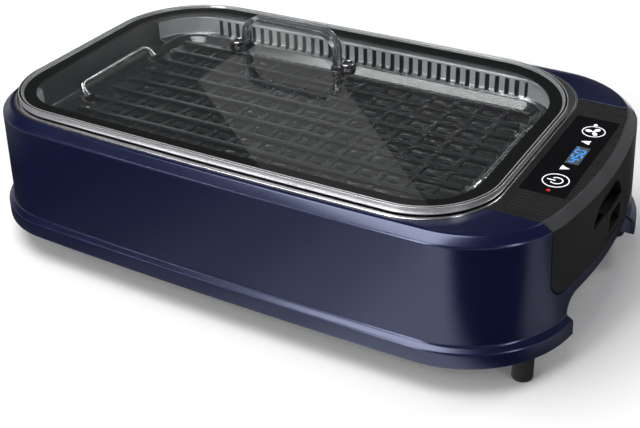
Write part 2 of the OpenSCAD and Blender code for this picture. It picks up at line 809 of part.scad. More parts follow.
// Channel round the glass: side wall, upper lip with a groove, lower lip
module lid_frame() {
    place() color([0.8, 0.8, 0.8]) difference() {
        prism(frame_ring_pts(0), frame_z, frame_top);
        prism(frame_ring_pts(-frame_t), glass_z - 0.1, glass_top + 0.1);
        prism(frame_ring_pts(-frame_lip), glass_z, frame_top + 1);
        prism(frame_ring_pts(-frame_lip - 1.5), frame_z - 1, glass_z);
        difference() {
            prism(frame_ring_pts(-1.1), frame_top - 0.35, frame_top + 1);
            prism(frame_ring_pts(-1.9), frame_top - 1, frame_top + 2);
        }
    }
}

module lid_gasket() {
    place() color([0.06, 0.06, 0.06]) difference() {
        union() {
            prism(frame_ring_pts(-frame_lip - 1.6), gasket_z, glass_z);
            prism(frame_ring_pts(-0.6), gasket_z, frame_z);
        }
        prism(frame_ring_pts(-frame_lip - 1.6 - gasket_w), gasket_z - 1, glass_z + 1);
    }
}

// Arch of the handle in X and Z above the glass
module arch_shape(w, h, r) {
    intersection() {
        union() {
            translate([-w / 2, 0]) square([w, h - r]);
            translate([-w / 2 + r, 0]) square([w - 2 * r, h]);
            for (s = [-1, 1]) translate([s * (w / 2 - r), h - r]) circle(r);
        }
        translate([-w, 0]) square([2 * w, h]);
    }
}

module lid_handle() {
    place() color([0.12, 0.12, 0.12]) difference() {
        translate([handle_x, handle_y + handle_b / 2, glass_top]) rotate([90, 0, 0]) union() {
            linear_extrude(handle_b) difference() {
                arch_shape(handle_l, handle_h, handle_r);
                translate([0, -eps]) arch_shape(handle_l - 2 * handle_t, handle_h - handle_t, handle_r - handle_t);
            }
            for (s = [-1, 1]) translate([s * (handle_l / 2 + pad_reach), 0, handle_b / 2])
                rotate([-90, 0, 0]) cylinder(d = cap_d + 2, h = pad_t);
            for (s = [-1, 1]) translate([s * (handle_l / 2 + pad_reach / 2 - 1) - pad_reach / 2 - 1, 0,
                handle_b / 2 - cap_d / 2 - 1]) cube([pad_reach + 2, pad_t, cap_d + 2]);
        }
        at_pads(glass_top - 1) cylinder(d = handle_screw_d + 2 * fit, h = pad_t + 2);
    }
}

module handle_caps() {
    place() color([0.75, 0.75, 0.75]) at_pads(glass_top + pad_t) difference() {
        rotate_extrude() polygon([[0, 0], [cap_d / 2, 0], [cap_d / 2, cap_h - 1], [cap_d / 2 - 1, cap_h],
            [cap_d / 2 - 2, cap_h], [cap_d / 2 - 2.4, cap_h - 0.8], [0, cap_h - 0.8]]);
        translate([0, 0, -1]) cylinder(d = handle_screw_d, h = 2.2);
    }
}

washer_t = 1.2;

module handle_washers() {
    place() color([0.1, 0.1, 0.1]) at_pads(glass_z - washer_t) difference() {
        cylinder(d = cap_d, h = washer_t);
        translate([0, 0, -1]) cylinder(d = handle_screw_d + 2 * fit, h = washer_t + 2);
    }
}

module handle_screws() {
    place() color([0.75, 0.75, 0.75]) at_pads(glass_z - washer_t)
        screw(handle_screw_d, washer_t + glass_t + pad_t + 1);
}

// Ridges and cross bars of the plate, counted from its middle
plate_floor = plate_z + plate_t;
rim_top = plate_floor + rim_h;
floor_a = plate_a - rim_w - rim_slope;
floor_b = plate_b - rim_w - rim_slope;
ridge_a = floor_a - 4;
// Depth to which the raised forms are rooted in the plate
plate_root = 1;
ridge_n = floor((floor_b - ridge_w / 2 - 2) / ridge_pitch);
bar_n = floor((floor_a - bar_w / 2 - 8) / ridge_pitch);

// Lens-shaped drain slot
module drain_shape() {
    r = (drain_l * drain_l / 4 + drain_w * drain_w / 4) / drain_w;
    intersection_for (s = [-1, 1]) translate([0, s * (r - drain_w / 2)]) circle(r, $fn = 180);
}

// Section of the rim, with a sloping inner wall, at a distance from the plate's middle
module rim_section(edge) {
    polygon([[edge - rim_w - rim_slope, -plate_root], [edge, -plate_root], [edge, rim_h],
        [edge - rim_w, rim_h], [edge - rim_w - rim_slope, 0]]);
}

module plate_rim() {
    for (sx = [0, 1]) mirror([sx, 0, 0]) {
        for (sy = [0, 1]) mirror([0, sy, 0]) translate([plate_a - plate_r, plate_b - plate_r, 0])
            rotate_extrude(angle = 90) rim_section(plate_r);
        translate([0, plate_b - plate_r, 0]) rotate([90, 0, 0]) linear_extrude(2 * (plate_b - plate_r))
            rim_section(plate_a);
    }
    for (sy = [0, 1]) mirror([0, sy, 0]) slab_x(plate_r - plate_a, plate_a - plate_r) rim_section(plate_b);
}

module grill_plate() {
    place() color([0.08, 0.08, 0.08]) difference() {
        union() {
            translate([lid_cx, 0, plate_z]) linear_extrude(plate_t) rounded(2 * plate_a, 2 * plate_b, plate_r);
            translate([lid_cx, 0, plate_floor]) plate_rim();
            for (i = [-ridge_n:ridge_n]) translate([lid_cx - ridge_a, i * ridge_pitch - ridge_w / 2,
                plate_floor - plate_root]) cube([2 * ridge_a, ridge_w, ridge_h + plate_root]);
            for (j = [-bar_n:bar_n]) translate([lid_cx + j * ridge_pitch - bar_w / 2,
                -ridge_n * ridge_pitch, plate_floor - plate_root])
                cube([bar_w, 2 * ridge_n * ridge_pitch, bar_h + plate_root]);
            for (s = [-1, 1]) for (t = [-1, 1])
                translate([lid_cx + s * (plate_a - ear_l / 2 - 1), t * grip_end, plate_floor - plate_root])
                    translate([-ear_l / 2, -ear_w / 2, 0]) cube([ear_l, ear_w, rim_h + plate_root]);
        }
        for (i = [-ridge_n:ridge_n - 1]) for (j = [-bar_n:bar_n - 1])
            translate([lid_cx + (j + 0.5) * ridge_pitch, (i + 0.5) * ridge_pitch, plate_z - 1])
                linear_extrude(plate_t + 2) drain_shape();
    }
}

// Handle bar outside the rim, its bent ends standing on ears inside the rim
ear_l = 10;
ear_w = 9;
grip_bend = 8;
grip_end = plate_grip_l / 2 + grip_bend;

module plate_handles() {
    place() color([0.3, 0.3, 0.3]) for (s = [0, 1]) translate([lid_cx, 0, 0]) mirror([s, 0, 0]) difference() {
        translate([plate_a + 1.6, 0, rim_top + plate_grip_h]) rotate([0, -45, 0]) {
            translate([0, -plate_grip_l / 2, 0]) rotate([-90, 0, 0])
                cylinder(d = plate_grip_d, h = plate_grip_l);
            for (t = [-1, 1]) {
                translate([-grip_bend, t * plate_grip_l / 2, 0]) rotate([0, 0, t < 0 ? -90 : 0])
                    rotate_extrude(angle = 90) translate([grip_bend, 0]) circle(d = plate_grip_d);
                translate([-grip_bend, t * grip_end, 0]) rotate([0, -90, 0])
                    cylinder(d = plate_grip_d, h = plate_grip_h * 2);
            }
        }
        translate([-big / 2, -big / 2, rim_top - big]) cube(big);
    }
}

// Path of the heating tube: four passes, joined by half turns, with bends down to the pins
tube_left = lid_cx - well_a + 40;
tube_right = socket_x - 44;
bend_r = 9;

module half_turn(x, y, a0) {
    translate([x, y, tube_z]) rotate([0, 0, a0]) rotate_extrude(angle = 180)
        translate([tube_pitch / 2, 0]) circle(d = tube_d);
}

module heating_element() {
    place() color([0.25, 0.25, 0.27]) {
        for (s = [-1, 1]) {
            translate([0, s * pin_y, tube_z]) rod_x(tube_d, tube_left - eps, socket_x - bend_r + eps);
            translate([0, s * tube_pitch / 2, tube_z]) rod_x(tube_d, tube_left - eps, tube_right + eps);
            half_turn(tube_left, s * tube_pitch, 90);
            translate([socket_x - bend_r, s * pin_y, tube_z - bend_r]) rotate([90, 0, 0])
                rotate_extrude(angle = 90) translate([bend_r, 0]) circle(d = tube_d);
            translate([socket_x, s * pin_y, tub_floor + 6])
                cylinder(d = pin_d, h = tube_z - bend_r + 1 - tub_floor - 6);
        }
        half_turn(tube_right, 0, -90);
    }
}

strap_x = [lid_cx - 0.42 * well_a, lid_cx + 0.42 * well_a];
strap_z = tube_z - tube_d / 2 - 0.1 - strap_t;

module element_straps() {
    place() color([0.6, 0.6, 0.6]) for (x = strap_x) translate([x - strap_w / 2, 0, 0]) {
        translate([0, -strap_b - strap_t / 2, strap_z]) cube([strap_w, 2 * strap_b + strap_t, strap_t]);
        for (s = [-1, 1]) translate([0, s * strap_b - strap_t / 2, tub_floor + fit])
            cube([strap_w, strap_t, strap_z - tub_floor]);
    }
}

module element_clips() {
    place() color([0.6, 0.6, 0.6]) for (x = strap_x) for (i = [-1.5:1.5])
        translate([x, i * tube_pitch, strap_z + strap_t]) slab_x(-3, 3) difference() {
            arch_shape(tube_d + 2.6, tube_d + 1.5, tube_d / 2 + 1);
            translate([0, -eps]) arch_shape(tube_d + 0.6, tube_d + 0.4, tube_d / 2);
        }
}

module drip_tray() {
    place() color([0.72, 0.72, 0.72]) translate([tray_cx, 0, tray_z]) {
        difference() {
            linear_extrude(tray_h) rounded(tray_l, 2 * tray_b, tray_r);
            translate([0, 0, tray_t]) linear_extrude(tray_h)
                rounded(tray_l - 2 * tray_t, 2 * (tray_b - tray_t), tray_r - tray_t);
        }
        translate([0, 0, tray_h - tray_t]) linear_extrude(tray_t) difference() {
            rounded(tray_l + 2 * tray_rim, 2 * (tray_b + tray_rim), tray_r + tray_rim);
            rounded(tray_l - 0.2, 2 * tray_b - 0.2, tray_r);
        }
    }
}

// Space of the module: the base's form inside the bay
module module_form(x0, z0, z1) {
    intersection() {
        outer_form();
        slab_x(x0, big) bay_shape(0);
        translate([x0, -big / 2, z0]) cube([big, big, z1 - z0]);
    }
}

scoop_y = inlet_y - 17;
scoop_flat = inlet_z + inlet_h / 2 + 1.5;
vent_y = 52;

module module_housing() {
    place() color([0.11, 0.11, 0.11]) difference() {
        union() {
            difference() {
                union() {
                    module_form(inner_x, module_z, chamfer_z - 0.1);
                    intersection() {
                        module_form(inner_x, chamfer_z - 0.2, top_z - 0.1);
                        prism(body_ring(-1.5), chamfer_z - 1, deck_z);
                    }
                }
                intersection() {
                    inner_form(module_t - wall_t);
                    room();
                }
                intersection() {
                    prism(body_ring(-1.5 - module_t), chamfer_z - 2, deck_z);
                    room();
                }
            }
            at_posts(module_z + 2) cylinder(d = post_d, h = post_seat - module_z - 2);
            difference() {
                intersection() {
                    slab_x(room_x + 20, big) scoop_shape(module_t);
                    scoop_core(0);
                }
                scoop_core(module_t);
            }
        }
        translate([inlet_face - 18, inlet_y - inlet_w / 2 - fit, inlet_z - inlet_h / 2 - fit])
            cube([big, inlet_w + 2 * fit, inlet_h + 2 * fit]);
        translate([room_x - 20, fan_y, fan_z]) rod_x(2 * wheel_r - 4, 0, 21);
        translate([contact_x - 6, contact_y - 1.5 * contact_pitch, module_z - 1])
            cube([12, 3 * contact_pitch, module_t + 2]);
        translate([fan_x, fan_y - 13, module_z - 1]) cube([fan_w, 26, module_t + 2]);
        at_posts(module_z - 1) {
            cylinder(d = module_screw_d + 1, h = post_seat - module_z + 2);
            cylinder(d = 2.1 * module_screw_d + 2 * fit, h = 2.2);
        }
        difference() {
            slab_x(room_x + 20, big) scoop_shape(0);
            scoop_core(0);
        }
        difference() {
            slab_x(room_x + 20, big) translate([vent_y - 11, chamfer_z - 16]) square([22, 14]);
            prism(body_ring(chamfer_off - 0.8), 0, big);
        }
    }
}

// Four posts between the module's floor and its top
module at_posts(z) {
    for (x = [room_x + post_d / 2 + 0.5, body_l / 2 - 19]) for (s = [-1, 1])
        translate([x, s * post_y, z]) children();
}

// Room inside the module's side walls and floor
module room() {
    slab_x(room_x, big) bay_shape(-module_t);
}

// How far the outer wall stands outside the deck edge at a height
function wall_at(z) = chamfer_off + wall_draft * (chamfer_z - z) / (chamfer_z - wall_z);

// Finger scoop: an arched hollow in the side that is deepest at its flat lower edge
scoop_rise = scoop_r - 11;

module scoop_shape(gap) {
    intersection() {
        translate([scoop_y, scoop_flat - 11]) circle(scoop_r + gap);
        translate([scoop_y - 60, scoop_flat - gap]) square([120, scoop_rise + gap + 1]);
    }
}

module scoop_core(gap) {
    z1 = scoop_flat + scoop_rise + 1;
    loft([[body_ring(wall_at(scoop_flat) - scoop_depth - gap), scoop_flat - gap - 1],
        [body_ring(wall_at(scoop_flat) - scoop_depth - gap), scoop_flat], [body_ring(wall_at(z1) + 1.5 - gap), z1]]);
}

module module_band() {
    place() color([0.3, 0.3, 0.3]) difference() {
        module_form(body_l / 2 - 45, chamfer_z, deck_z);
        prism(body_ring(-1.4), chamfer_z - 1, deck_z + 1);
    }
}

top_z = deck_z - top_t;
rib_n = floor((module_hw - 3) / rib_pitch);

module module_top() {
    place() color([0.12, 0.12, 0.12]) {
        difference() {
            intersection() {
                module_form(module_x - 30, top_z, deck_z);
                prism(body_ring(-1.5), top_z - 1, deck_z + 1);
            }
            prism(trim_ring_pts(seam * 0.75), top_z - 1, deck_z + 1);
            translate([panel_x - panel_w / 2 - fit, panel_y - panel_l / 2 - fit, panel_z])
                cube([panel_w + 2 * fit, panel_l + 2 * fit, 10]);
            translate([panel_x - panel_w / 2 + 2, panel_y - panel_l / 2 + 2, top_z - 1])
                cube([panel_w - 4, panel_l - 4, 10]);
            difference() {
                for (i = [-rib_n:rib_n]) translate([module_x + strip_w, (i + 0.5) * rib_pitch - rib_pitch / 4,
                    deck_z - rib_depth]) cube([big, rib_pitch / 2, 5]);
                translate([panel_x - panel_w / 2 - 1, panel_y - panel_l / 2 - 1, top_z - 2])
                    cube([panel_w + 2, panel_l + 2, 20]);
            }
        }
        at_posts(post_seat + 0.1) difference() {
            cylinder(d = post_d, h = top_z - post_seat);
            translate([0, 0, -1]) cylinder(d = module_screw_d, h = 16);
        }
    }
}

module module_screws() {
    place() color([0.6, 0.6, 0.62]) at_posts(module_z + 1.2)
        screw(module_screw_d, post_seat - module_z + module_screw_grip);
}

module display_cut(g) {
    translate([panel_x - display_w / 2 + 4 - g, display_y - display_l / 2 - g, board_z])
        cube([display_w + 2 * g, display_l + 2 * g, 30]);
}

led_y = panel_y - panel_l / 2 + 7;
led_d = 3;

module touch_glass() {
    place() color([0.03, 0.03, 0.03]) difference() {
        translate([panel_x - panel_w / 2, panel_y - panel_l / 2, panel_z]) cube([panel_w, panel_l, panel_t]);
        display_cut(0.1);
        translate([icon_x, led_y, panel_z - 1]) cylinder(d = led_d + 0.2, h = 5);
    }
}

module display() {
    place() color([0.4, 0.5, 0.6]) intersection() {
        display_cut(0);
        translate([0, -big / 2, board_z + board_t]) cube([big, big, panel_top - 0.1 - board_z - board_t]);
    }
}

// Half width and half height of an arrow, and its distance from the display's middle
arrow_w = 3.4;
arrow_h = 2.6;
arrow_reach = 24.5;

module ring_icon(r) {
    linear_extrude(icon_t) difference() {
        circle(r);
        circle(r - icon_line);
    }
}

// Power sign, fan sign and the two arrows of the touch panel
module panel_icons() {
    place() color([0.95, 0.95, 0.95]) {
        translate([icon_x, power_icon_y, panel_top]) {
            ring_icon(icon_r);
            linear_extrude(icon_t) difference() {
                circle(icon_r * 0.5);
                circle(icon_r * 0.5 - icon_line);
                translate([-icon_r, -icon_line * 1.2]) square([icon_r, icon_line * 2.4]);
            }
            translate([-icon_r * 0.72, -icon_line / 2, 0]) cube([icon_r * 0.6, icon_line, icon_t]);
        }
        translate([icon_x, fan_icon_y, panel_top]) {
            ring_icon(icon_r);
            for (a = [30, 150, 270]) rotate([0, 0, a]) translate([icon_r * 0.42, 0, 0]) cylinder(r = icon_r * 0.26, h = icon_t);
            cylinder(r = icon_r * 0.13, h = icon_t);
            translate([-icon_r * 0.2, icon_r * 1.25, 0]) cylinder(r = icon_r * 0.16, h = icon_t);
        }
        for (s = [-1, 1]) translate([icon_x, display_y + s * arrow_reach, panel_top]) linear_extrude(icon_t)
            polygon([[-arrow_w, -arrow_h * s], [arrow_w, -arrow_h * s], [0, arrow_h * s]]);
    }
}

module status_led() {
    place() color([0.8, 0.1, 0.1]) translate([icon_x, led_y, board_z + board_t])
        cylinder(d = led_d, h = panel_top + 0.1 - board_z - board_t);
}

module control_board() {
    place() color([0.1, 0.35, 0.2]) translate([panel_x - panel_w / 2 + 3, panel_y - panel_l / 2 + 4, board_z])
        cube([panel_w - 6, panel_l - 8, board_t]);
}

chip_w = 12;
chip_h = 2.5;
spacer_d = 4;
spacer_x = 8;
spacer_y = panel_l / 2 - 10;

// Chips, spacers under the touch glass, and a capacitor
module board_parts() {
    place() color([0.2, 0.2, 0.22]) {
        for (y = [-spacer_y + 4, -spacer_y + 2 * chip_w, spacer_y - 20])
            translate([panel_x - chip_w * 0.75, panel_y + y, board_z + board_t]) cube([chip_w, chip_w, chip_h]);
        for (x = [-spacer_x, spacer_x]) for (y = [-spacer_y, spacer_y])
            translate([panel_x + x, panel_y + y, board_z + board_t])
                cylinder(d = spacer_d, h = panel_z - board_z - board_t - 0.1);
        translate([panel_x + spacer_x, panel_y - spacer_y + spacer_d * 2, board_z + board_t])
            cylinder(d = spacer_d, h = 2 * chip_h);
    }
}

// Six-sided socket with two bevelled upper corners
module cavity_shape() {
    w = cavity_w / 2;
    h = cavity_h / 2;
    polygon([[-w, -h], [w, -h], [w, h - 4], [w - 5, h], [5 - w, h], [-w, h - 4]]);
}

module power_inlet() {
    place() color([0.05, 0.05, 0.05]) difference() {
        translate([inlet_face - inlet_d, inlet_y - inlet_w / 2, inlet_z - inlet_h / 2])
            cube([inlet_d, inlet_w, inlet_h]);
        slab_x(inlet_face - cavity_d, inlet_face + 1) translate([inlet_y, inlet_z]) cavity_shape();
        for (y = [-7, 0, 7]) translate([0, inlet_y + y, inlet_z + (y == 0 ? 2.5 : -2)])
            rod_x(pin_d, inlet_face - cavity_d - 3, inlet_face);
    }
}

pin_recess = 6;

module inlet_pins() {
    place() color([0.8, 0.8, 0.8]) for (y = [-7, 0, 7])
        translate([0, inlet_y + y, inlet_z + (y == 0 ? 2.5 : -2)])
            rod_x(pin_d, inlet_face - cavity_d - 3, inlet_face - pin_recess);
}

module module_connector() {
    place() color([0.85, 0.83, 0.78]) difference() {
        union() {
            translate([contact_x - 6 + fit, contact_y - 1.5 * contact_pitch + fit, module_z + 0.4])
                cube([12 - 2 * fit, 3 * contact_pitch - 2 * fit, connector_h + 2]);
            translate([contact_x - 8 + fit, contact_y - 1.5 * contact_pitch - 2, floor_top + 0.1])
                cube([16 - 2 * fit, 3 * contact_pitch + 4, 2.4]);
        }
        for (i = [-1:1]) translate([contact_x, contact_y + i * contact_pitch, module_z - 2])
            cylinder(d = pin_d + 2 * fit, h = connector_h + 1.5);
    }
}

// Round fan casing, open to the grille and to the outlet below
module fan_casing() {
    place() color([0.15, 0.15, 0.16]) translate([0, fan_y, fan_z]) difference() {
        rod_x(2 * fan_r, fan_x, motor_x);
        rod_x(2 * (fan_r - scroll_t), fan_x - 1, motor_x - scroll_t);
        rod_x(shaft_d + 2 * fit, fan_x, motor_x + 1);
        translate([fan_x - 1, -wheel_r * 0.6, -fan_r - 1]) cube([fan_w + 0.5, wheel_r * 1.2, fan_r * 0.5]);
    }
}

module fan_grille() {
    place() color([0.2, 0.2, 0.2]) translate([0, fan_y, fan_z]) difference() {
        rod_x(2 * fan_r, grille_x, grille_x + grille_t);
        for (k = [-2:2]) for (s = [-1, 1]) translate([grille_x - 1, s * 6.4 - 5.2, k * 6 - 2])
            cube([4, 10.4, 4]);
    }
}

module fan_motor() {
    place() color([0.6, 0.6, 0.6]) translate([0, fan_y, fan_z]) difference() {
        union() {
            rod_x(motor_d, motor_x, motor_x + motor_l);
            rod_x(8, motor_x + motor_l, motor_x + motor_l + 2);
        }
        rod_x(shaft_d + 2 * fit, motor_x - 1, motor_x + motor_l - 2);
    }
}

wheel_x = fan_x + wheel_gap;

module fan_wheel() {
    place() color([0.3, 0.3, 0.32]) translate([0, fan_y, fan_z]) difference() {
        union() {
            rod_x(2 * wheel_r, wheel_x + wheel_w - 1.4, wheel_x + wheel_w);
            rod_x(9, wheel_x + 3, wheel_x + wheel_w);
            difference() {
                rod_x(2 * wheel_r, wheel_x, wheel_x + 1.2);
                rod_x(2 * wheel_r - 7, wheel_x - 1, wheel_x + 3);
            }
            for (i = [0:blade_n - 1]) rotate([i * 360 / blade_n, 0, 0]) translate([wheel_x + 0.6, -0.5, wheel_r - 4.2])
                rotate([-18, 0, 0]) cube([wheel_w - 1.2, 1, 3.7]);
        }
        rod_x(shaft_d, wheel_x, wheel_x + wheel_w + 1);
    }
}

module fan_shaft() {
    place() color([0.75, 0.75, 0.75]) translate([0, fan_y, fan_z])
        rod_x(shaft_d, wheel_x + 4, motor_x + motor_l - 3);
}

base_housing();
bottom_cover();
cover_screws();
feet();
foot_screws();
trim_ring();
inner_tub();
smoke_guard_back();
smoke_guard_front();
heat_shield();
element_socket();
module_cradle();
base_connector();
base_contacts();
base_wiring();
lid_glass();
lid_frame();
lid_gasket();
lid_handle();
handle_caps();
handle_screws();
handle_washers();
grill_plate();
plate_handles();
heating_element();
element_straps();
element_clips();
drip_tray();
module_housing();
module_band();
module_top();
module_screws();
touch_glass();
display();
panel_icons();
status_led();
control_board();
board_parts();
power_inlet();
inlet_pins();
module_connector();
fan_casing();
fan_grille();
fan_motor();
fan_wheel();
fan_shaft();
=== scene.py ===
"""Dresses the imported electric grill: smooth shells, glass lid, metal and plastic finishes, studio and camera."""

import json
import math
from contextlib import contextmanager

import bpy
from bpy.props import FloatProperty, FloatVectorProperty, PointerProperty
from mathutils import Matrix, Vector


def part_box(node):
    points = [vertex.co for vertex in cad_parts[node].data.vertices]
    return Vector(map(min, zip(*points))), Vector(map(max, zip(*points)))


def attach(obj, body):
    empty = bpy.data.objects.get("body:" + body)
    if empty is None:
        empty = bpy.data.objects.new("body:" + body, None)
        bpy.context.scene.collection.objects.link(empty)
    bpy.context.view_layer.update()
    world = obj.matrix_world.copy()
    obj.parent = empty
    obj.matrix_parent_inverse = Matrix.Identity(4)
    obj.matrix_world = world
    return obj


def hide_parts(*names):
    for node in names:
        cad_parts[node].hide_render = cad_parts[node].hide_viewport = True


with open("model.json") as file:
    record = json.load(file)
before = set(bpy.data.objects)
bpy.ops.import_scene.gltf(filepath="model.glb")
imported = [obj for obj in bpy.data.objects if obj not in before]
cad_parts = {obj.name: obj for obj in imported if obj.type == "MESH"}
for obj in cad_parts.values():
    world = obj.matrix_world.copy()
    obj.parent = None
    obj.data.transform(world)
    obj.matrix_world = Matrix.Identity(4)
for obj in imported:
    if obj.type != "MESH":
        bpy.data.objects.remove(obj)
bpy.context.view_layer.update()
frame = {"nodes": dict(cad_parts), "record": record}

bl_info = {
    "name": "Electric Grill Dressing",
    "version": (1, 0, 0),
    "blender": (4, 5, 0),
    "location": "3D Viewport > Sidebar > Grill",
    "description": "Models and finishes the visible pieces of an electric grill with a glass lid",
    "category": "Object",
}

# Millimetres, in the script's unit, the metre
MM = 0.001

# Points on a corner, an end and a side of every plan outline
CORNER_STEPS = 20
SIDE_STEPS = 20

# Place along X past every piece, where the tools that cut the right end stop
PAST_END = 0.4

# Sheet of the inner tub
TUB_T = 1.2 * MM

# Height of the marks on the touch glass and of the digits on the display
MARK_T = 0.2 * MM
DIGIT_T = 0.1 * MM

# Vertices closer than this are merged, in a new skin and in a copy of a CAD node
MERGE_SKIN = 0.002 * MM
MERGE_COPY = 0.01 * MM


def length(name, description, default):
    """Size that a user can change, in metres."""
    return FloatProperty(name=name, description=description, default=default, unit="LENGTH")


def colour(name, description, default):
    """Colour that a user can change."""
    return FloatVectorProperty(
        name=name, description=description, subtype="COLOR", default=default, size=3, min=0.0, max=1.0)


class GrillSizes(bpy.types.PropertyGroup):
    """Sizes that the dressed pieces follow"""

    body_l: length("Body length", "Deck edge from the left end to the right end", 0.4974)
    body_w: length("Body width", "Deck edge across, at the corners", 0.275)
    side_bow: length("Side bulge", "Bulge of the long sides", 0.0059)
    right_end_r: length("Right end radius", "Plan radius of the right end", 0.401)
    right_corner_r: length("Right corner radius", "Plan radius of the right corners", 0.0724)
    left_end_r: length("Left end radius", "Plan radius of the left end", 0.480)
    left_corner_r: length("Left corner radius", "Plan radius of the left corners", 0.0602)
    skirt_reach: length("Skirt reach", "How far the skirt stands outside the deck edge", 0.0163)
    wall_reach: length("Wall reach", "How far the foot of the wall stands outside the deck edge", 0.0106)
    chamfer_reach: length("Chamfer reach", "How far the chamfer runs out", 0.007)
    chamfer_drop: length("Chamfer drop", "Height of the chamfer", 0.0058)
    skirt_h: length("Skirt height", "Height of the skirt", 0.0124)
    skirt_slope: length("Skirt slope", "Height of the slope above the skirt", 0.0033)
    wall_t: length("Wall thickness", "Wall of the base", 0.0026)
    deck_t: length("Deck thickness", "Thickness of the deck", 0.004)
    trim_r: length("Trim radius", "Outer corner radius of the trim ring", 0.062)
    trim_bow: length("Trim bulge", "Bulge of the trim ring's long sides", 0.0045)
    trim_w: length("Trim width", "Width of the trim ring", 0.008)
    frame_front_r: length("Lid front radius", "Front corner radius of the lid frame", 0.0617)
    frame_back_r: length("Lid back radius", "Back corner radius of the lid frame", 0.080)
    frame_bow: length("Lid bulge", "Bulge of the lid's long sides", 0.0025)
    well_r: length("Well radius", "Corner radius of the tub's well", 0.026)
    guard_open: length("Guard opening", "Free width between the ends of the two guards", 0.166)
    slot_pitch: length("Slot pitch", "Distance between the slots of the back guard", 0.00932)
    slot_w: length("Slot width", "Width of a slot of the back guard", 0.0043)
    module_w: length("Module width", "Width of the control module", 0.191)
    module_r: length("Module radius", "Lower corner radius of the module", 0.015)
    seam: length("Seam", "Gap round the module and the trim ring", 0.0008)
    grip_w: length("Grip width", "Width of the grip arch", 0.150)
    grip_h: length("Grip height", "Height of the grip arch", 0.030)
    grip_r: length("Grip radius", "Corner radius of the grip arch", 0.014)
    grip_depth: length("Grip depth", "Depth of the grip pocket behind the deck edge", 0.014)
    handle_t: length("Handle thickness", "Thickness of the lid handle", 0.0044)


class GrillColours(bpy.types.PropertyGroup):
    """Colours of the finishes"""

    navy: colour("Navy", "Paint of the base", (0.0033, 0.0045, 0.025))
    black: colour("Black", "Moulded black plastic", (0.012, 0.012, 0.013))
    band: colour("Band", "Bevelled band of the module", (0.035, 0.036, 0.038))
    steel: colour("Steel", "Stainless sheet", (0.78, 0.78, 0.79))
    coating: colour("Coating", "Non-stick coating of the plate", (0.016, 0.016, 0.017))


# Boxes of the CAD nodes, each measured once
MEASURED = {}


def box(node):
    """Lowest and highest corner of a CAD node."""
    if node not in MEASURED:
        MEASURED[node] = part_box(node)
    return MEASURED[node]


def heights(node):
    """Lowest and highest level of a CAD node."""
    return [corner.z for corner in box(node)]


def settings():
    """Sizes as the user has set them."""
    return bpy.context.scene.grill_sizes


# Plan outlines


def arc(centre, radius, start, end, steps):
    """Points along an arc, both ends included, angles in degrees."""
    turns = [math.radians(start + (end - start) * i / steps) for i in range(steps + 1)]
    return [(centre[0] + radius * math.cos(a), centre[1] + radius * math.sin(a)) for a in turns]


def between(start, end, steps):
    """Points that divide a straight line, without its ends."""
    return [(start[0] + (end[0] - start[0]) * i / steps, start[1] + (end[1] - start[1]) * i / steps)
            for i in range(1, steps)]


def bowed(points, centre_x, half_l, bow):
    """Bulges the long sides of an outline; the bulge fades out towards the middle line."""
    full_at = 0.060
    bent = []
    for x, y in points:
        share = min(1.0, abs(x - centre_x) / half_l)
        lift = min(1.0, abs(y) / full_at) * bow * (1.0 - share * share)
        bent.append((x, y + math.copysign(lift, y)))
    return bent


def end_outline(reach, end_r, corner_r, half_w):
    """Corner, end and corner of one end of the body, about its middle."""
    swing = math.asin((half_w - corner_r) / (end_r - corner_r))
    centre = reach - end_r + (end_r - corner_r) * math.cos(swing)
    tilt = math.degrees(swing)
    return (arc((centre, corner_r - half_w), corner_r, -90, -tilt, CORNER_STEPS)
            + arc((reach - end_r, 0.0), end_r, -tilt, tilt, SIDE_STEPS)[1:-1]
            + arc((centre, half_w - corner_r), corner_r, tilt, 90, CORNER_STEPS))


def body_outline(offset):
    """Plan of the base at a distance outside its deck edge."""
    sizes = settings()
    reach = sizes.body_l / 2 + offset
    half_w = sizes.body_w / 2 + offset
    right = end_outline(reach, sizes.right_end_r + offset, sizes.right_corner_r + offset, half_w)
    mirrored = end_outline(reach, sizes.left_end_r + offset, sizes.left_corner_r + offset, half_w)
    left = [(-x, y) for x, y in reversed(mirrored)]
    points = right + between(right[-1], left[0], SIDE_STEPS) + left + between(left[-1], right[0], SIDE_STEPS)
    return [(x + body_cx(), y) for x, y in bowed(points, 0.0, reach, sizes.side_bow)]


def body_cx():
    """Middle of the body's length in the frame."""
    sizes = settings()
    return box("base_housing")[0].x + sizes.body_l / 2 + sizes.skirt_reach


def lid_cx():
    """Middle of the lid, the trim ring and the well along X."""
    low, high = box("trim_ring")
    return (low.x + high.x) / 2


def lid_outline(half_l, half_w, front_r, back_r, bow):
    """Rounded rectangle about the lid's middle."""
    cx = lid_cx()
    corners = [arc((cx + half_l - front_r, front_r - half_w), front_r, -90, 0, CORNER_STEPS),
               arc((cx + half_l - back_r, half_w - back_r), back_r, 0, 90, CORNER_STEPS),
               arc((cx - half_l + back_r, half_w - back_r), back_r, 90, 180, CORNER_STEPS),
               arc((cx - half_l + front_r, front_r - half_w), front_r, 180, 270, CORNER_STEPS)]
    points = []
    for corner, following in zip(corners, corners[1:] + corners[:1]):
        points += corner + between(corner[-1], following[0], SIDE_STEPS)
    return bowed(points, cx, half_l, bow)


def half_sizes(node, bow):
    """Half length of a ring node, and its half width without its bulge."""
    low, high = box(node)
    return (high.x - low.x) / 2, (high.y - low.y) / 2 - bow


def trim_outline(offset):
    """Outer edge of the trim ring, moved outwards."""
    sizes = settings()
    half_l, half_w = half_sizes("trim_ring", sizes.trim_bow)
    radius = sizes.trim_r + offset
    return lid_outline(half_l + offset, half_w + offset, radius, radius, sizes.trim_bow)


def tub_outline(offset):
    """Inner edge of the trim ring, moved outwards."""
    return trim_outline(offset - settings().trim_w)


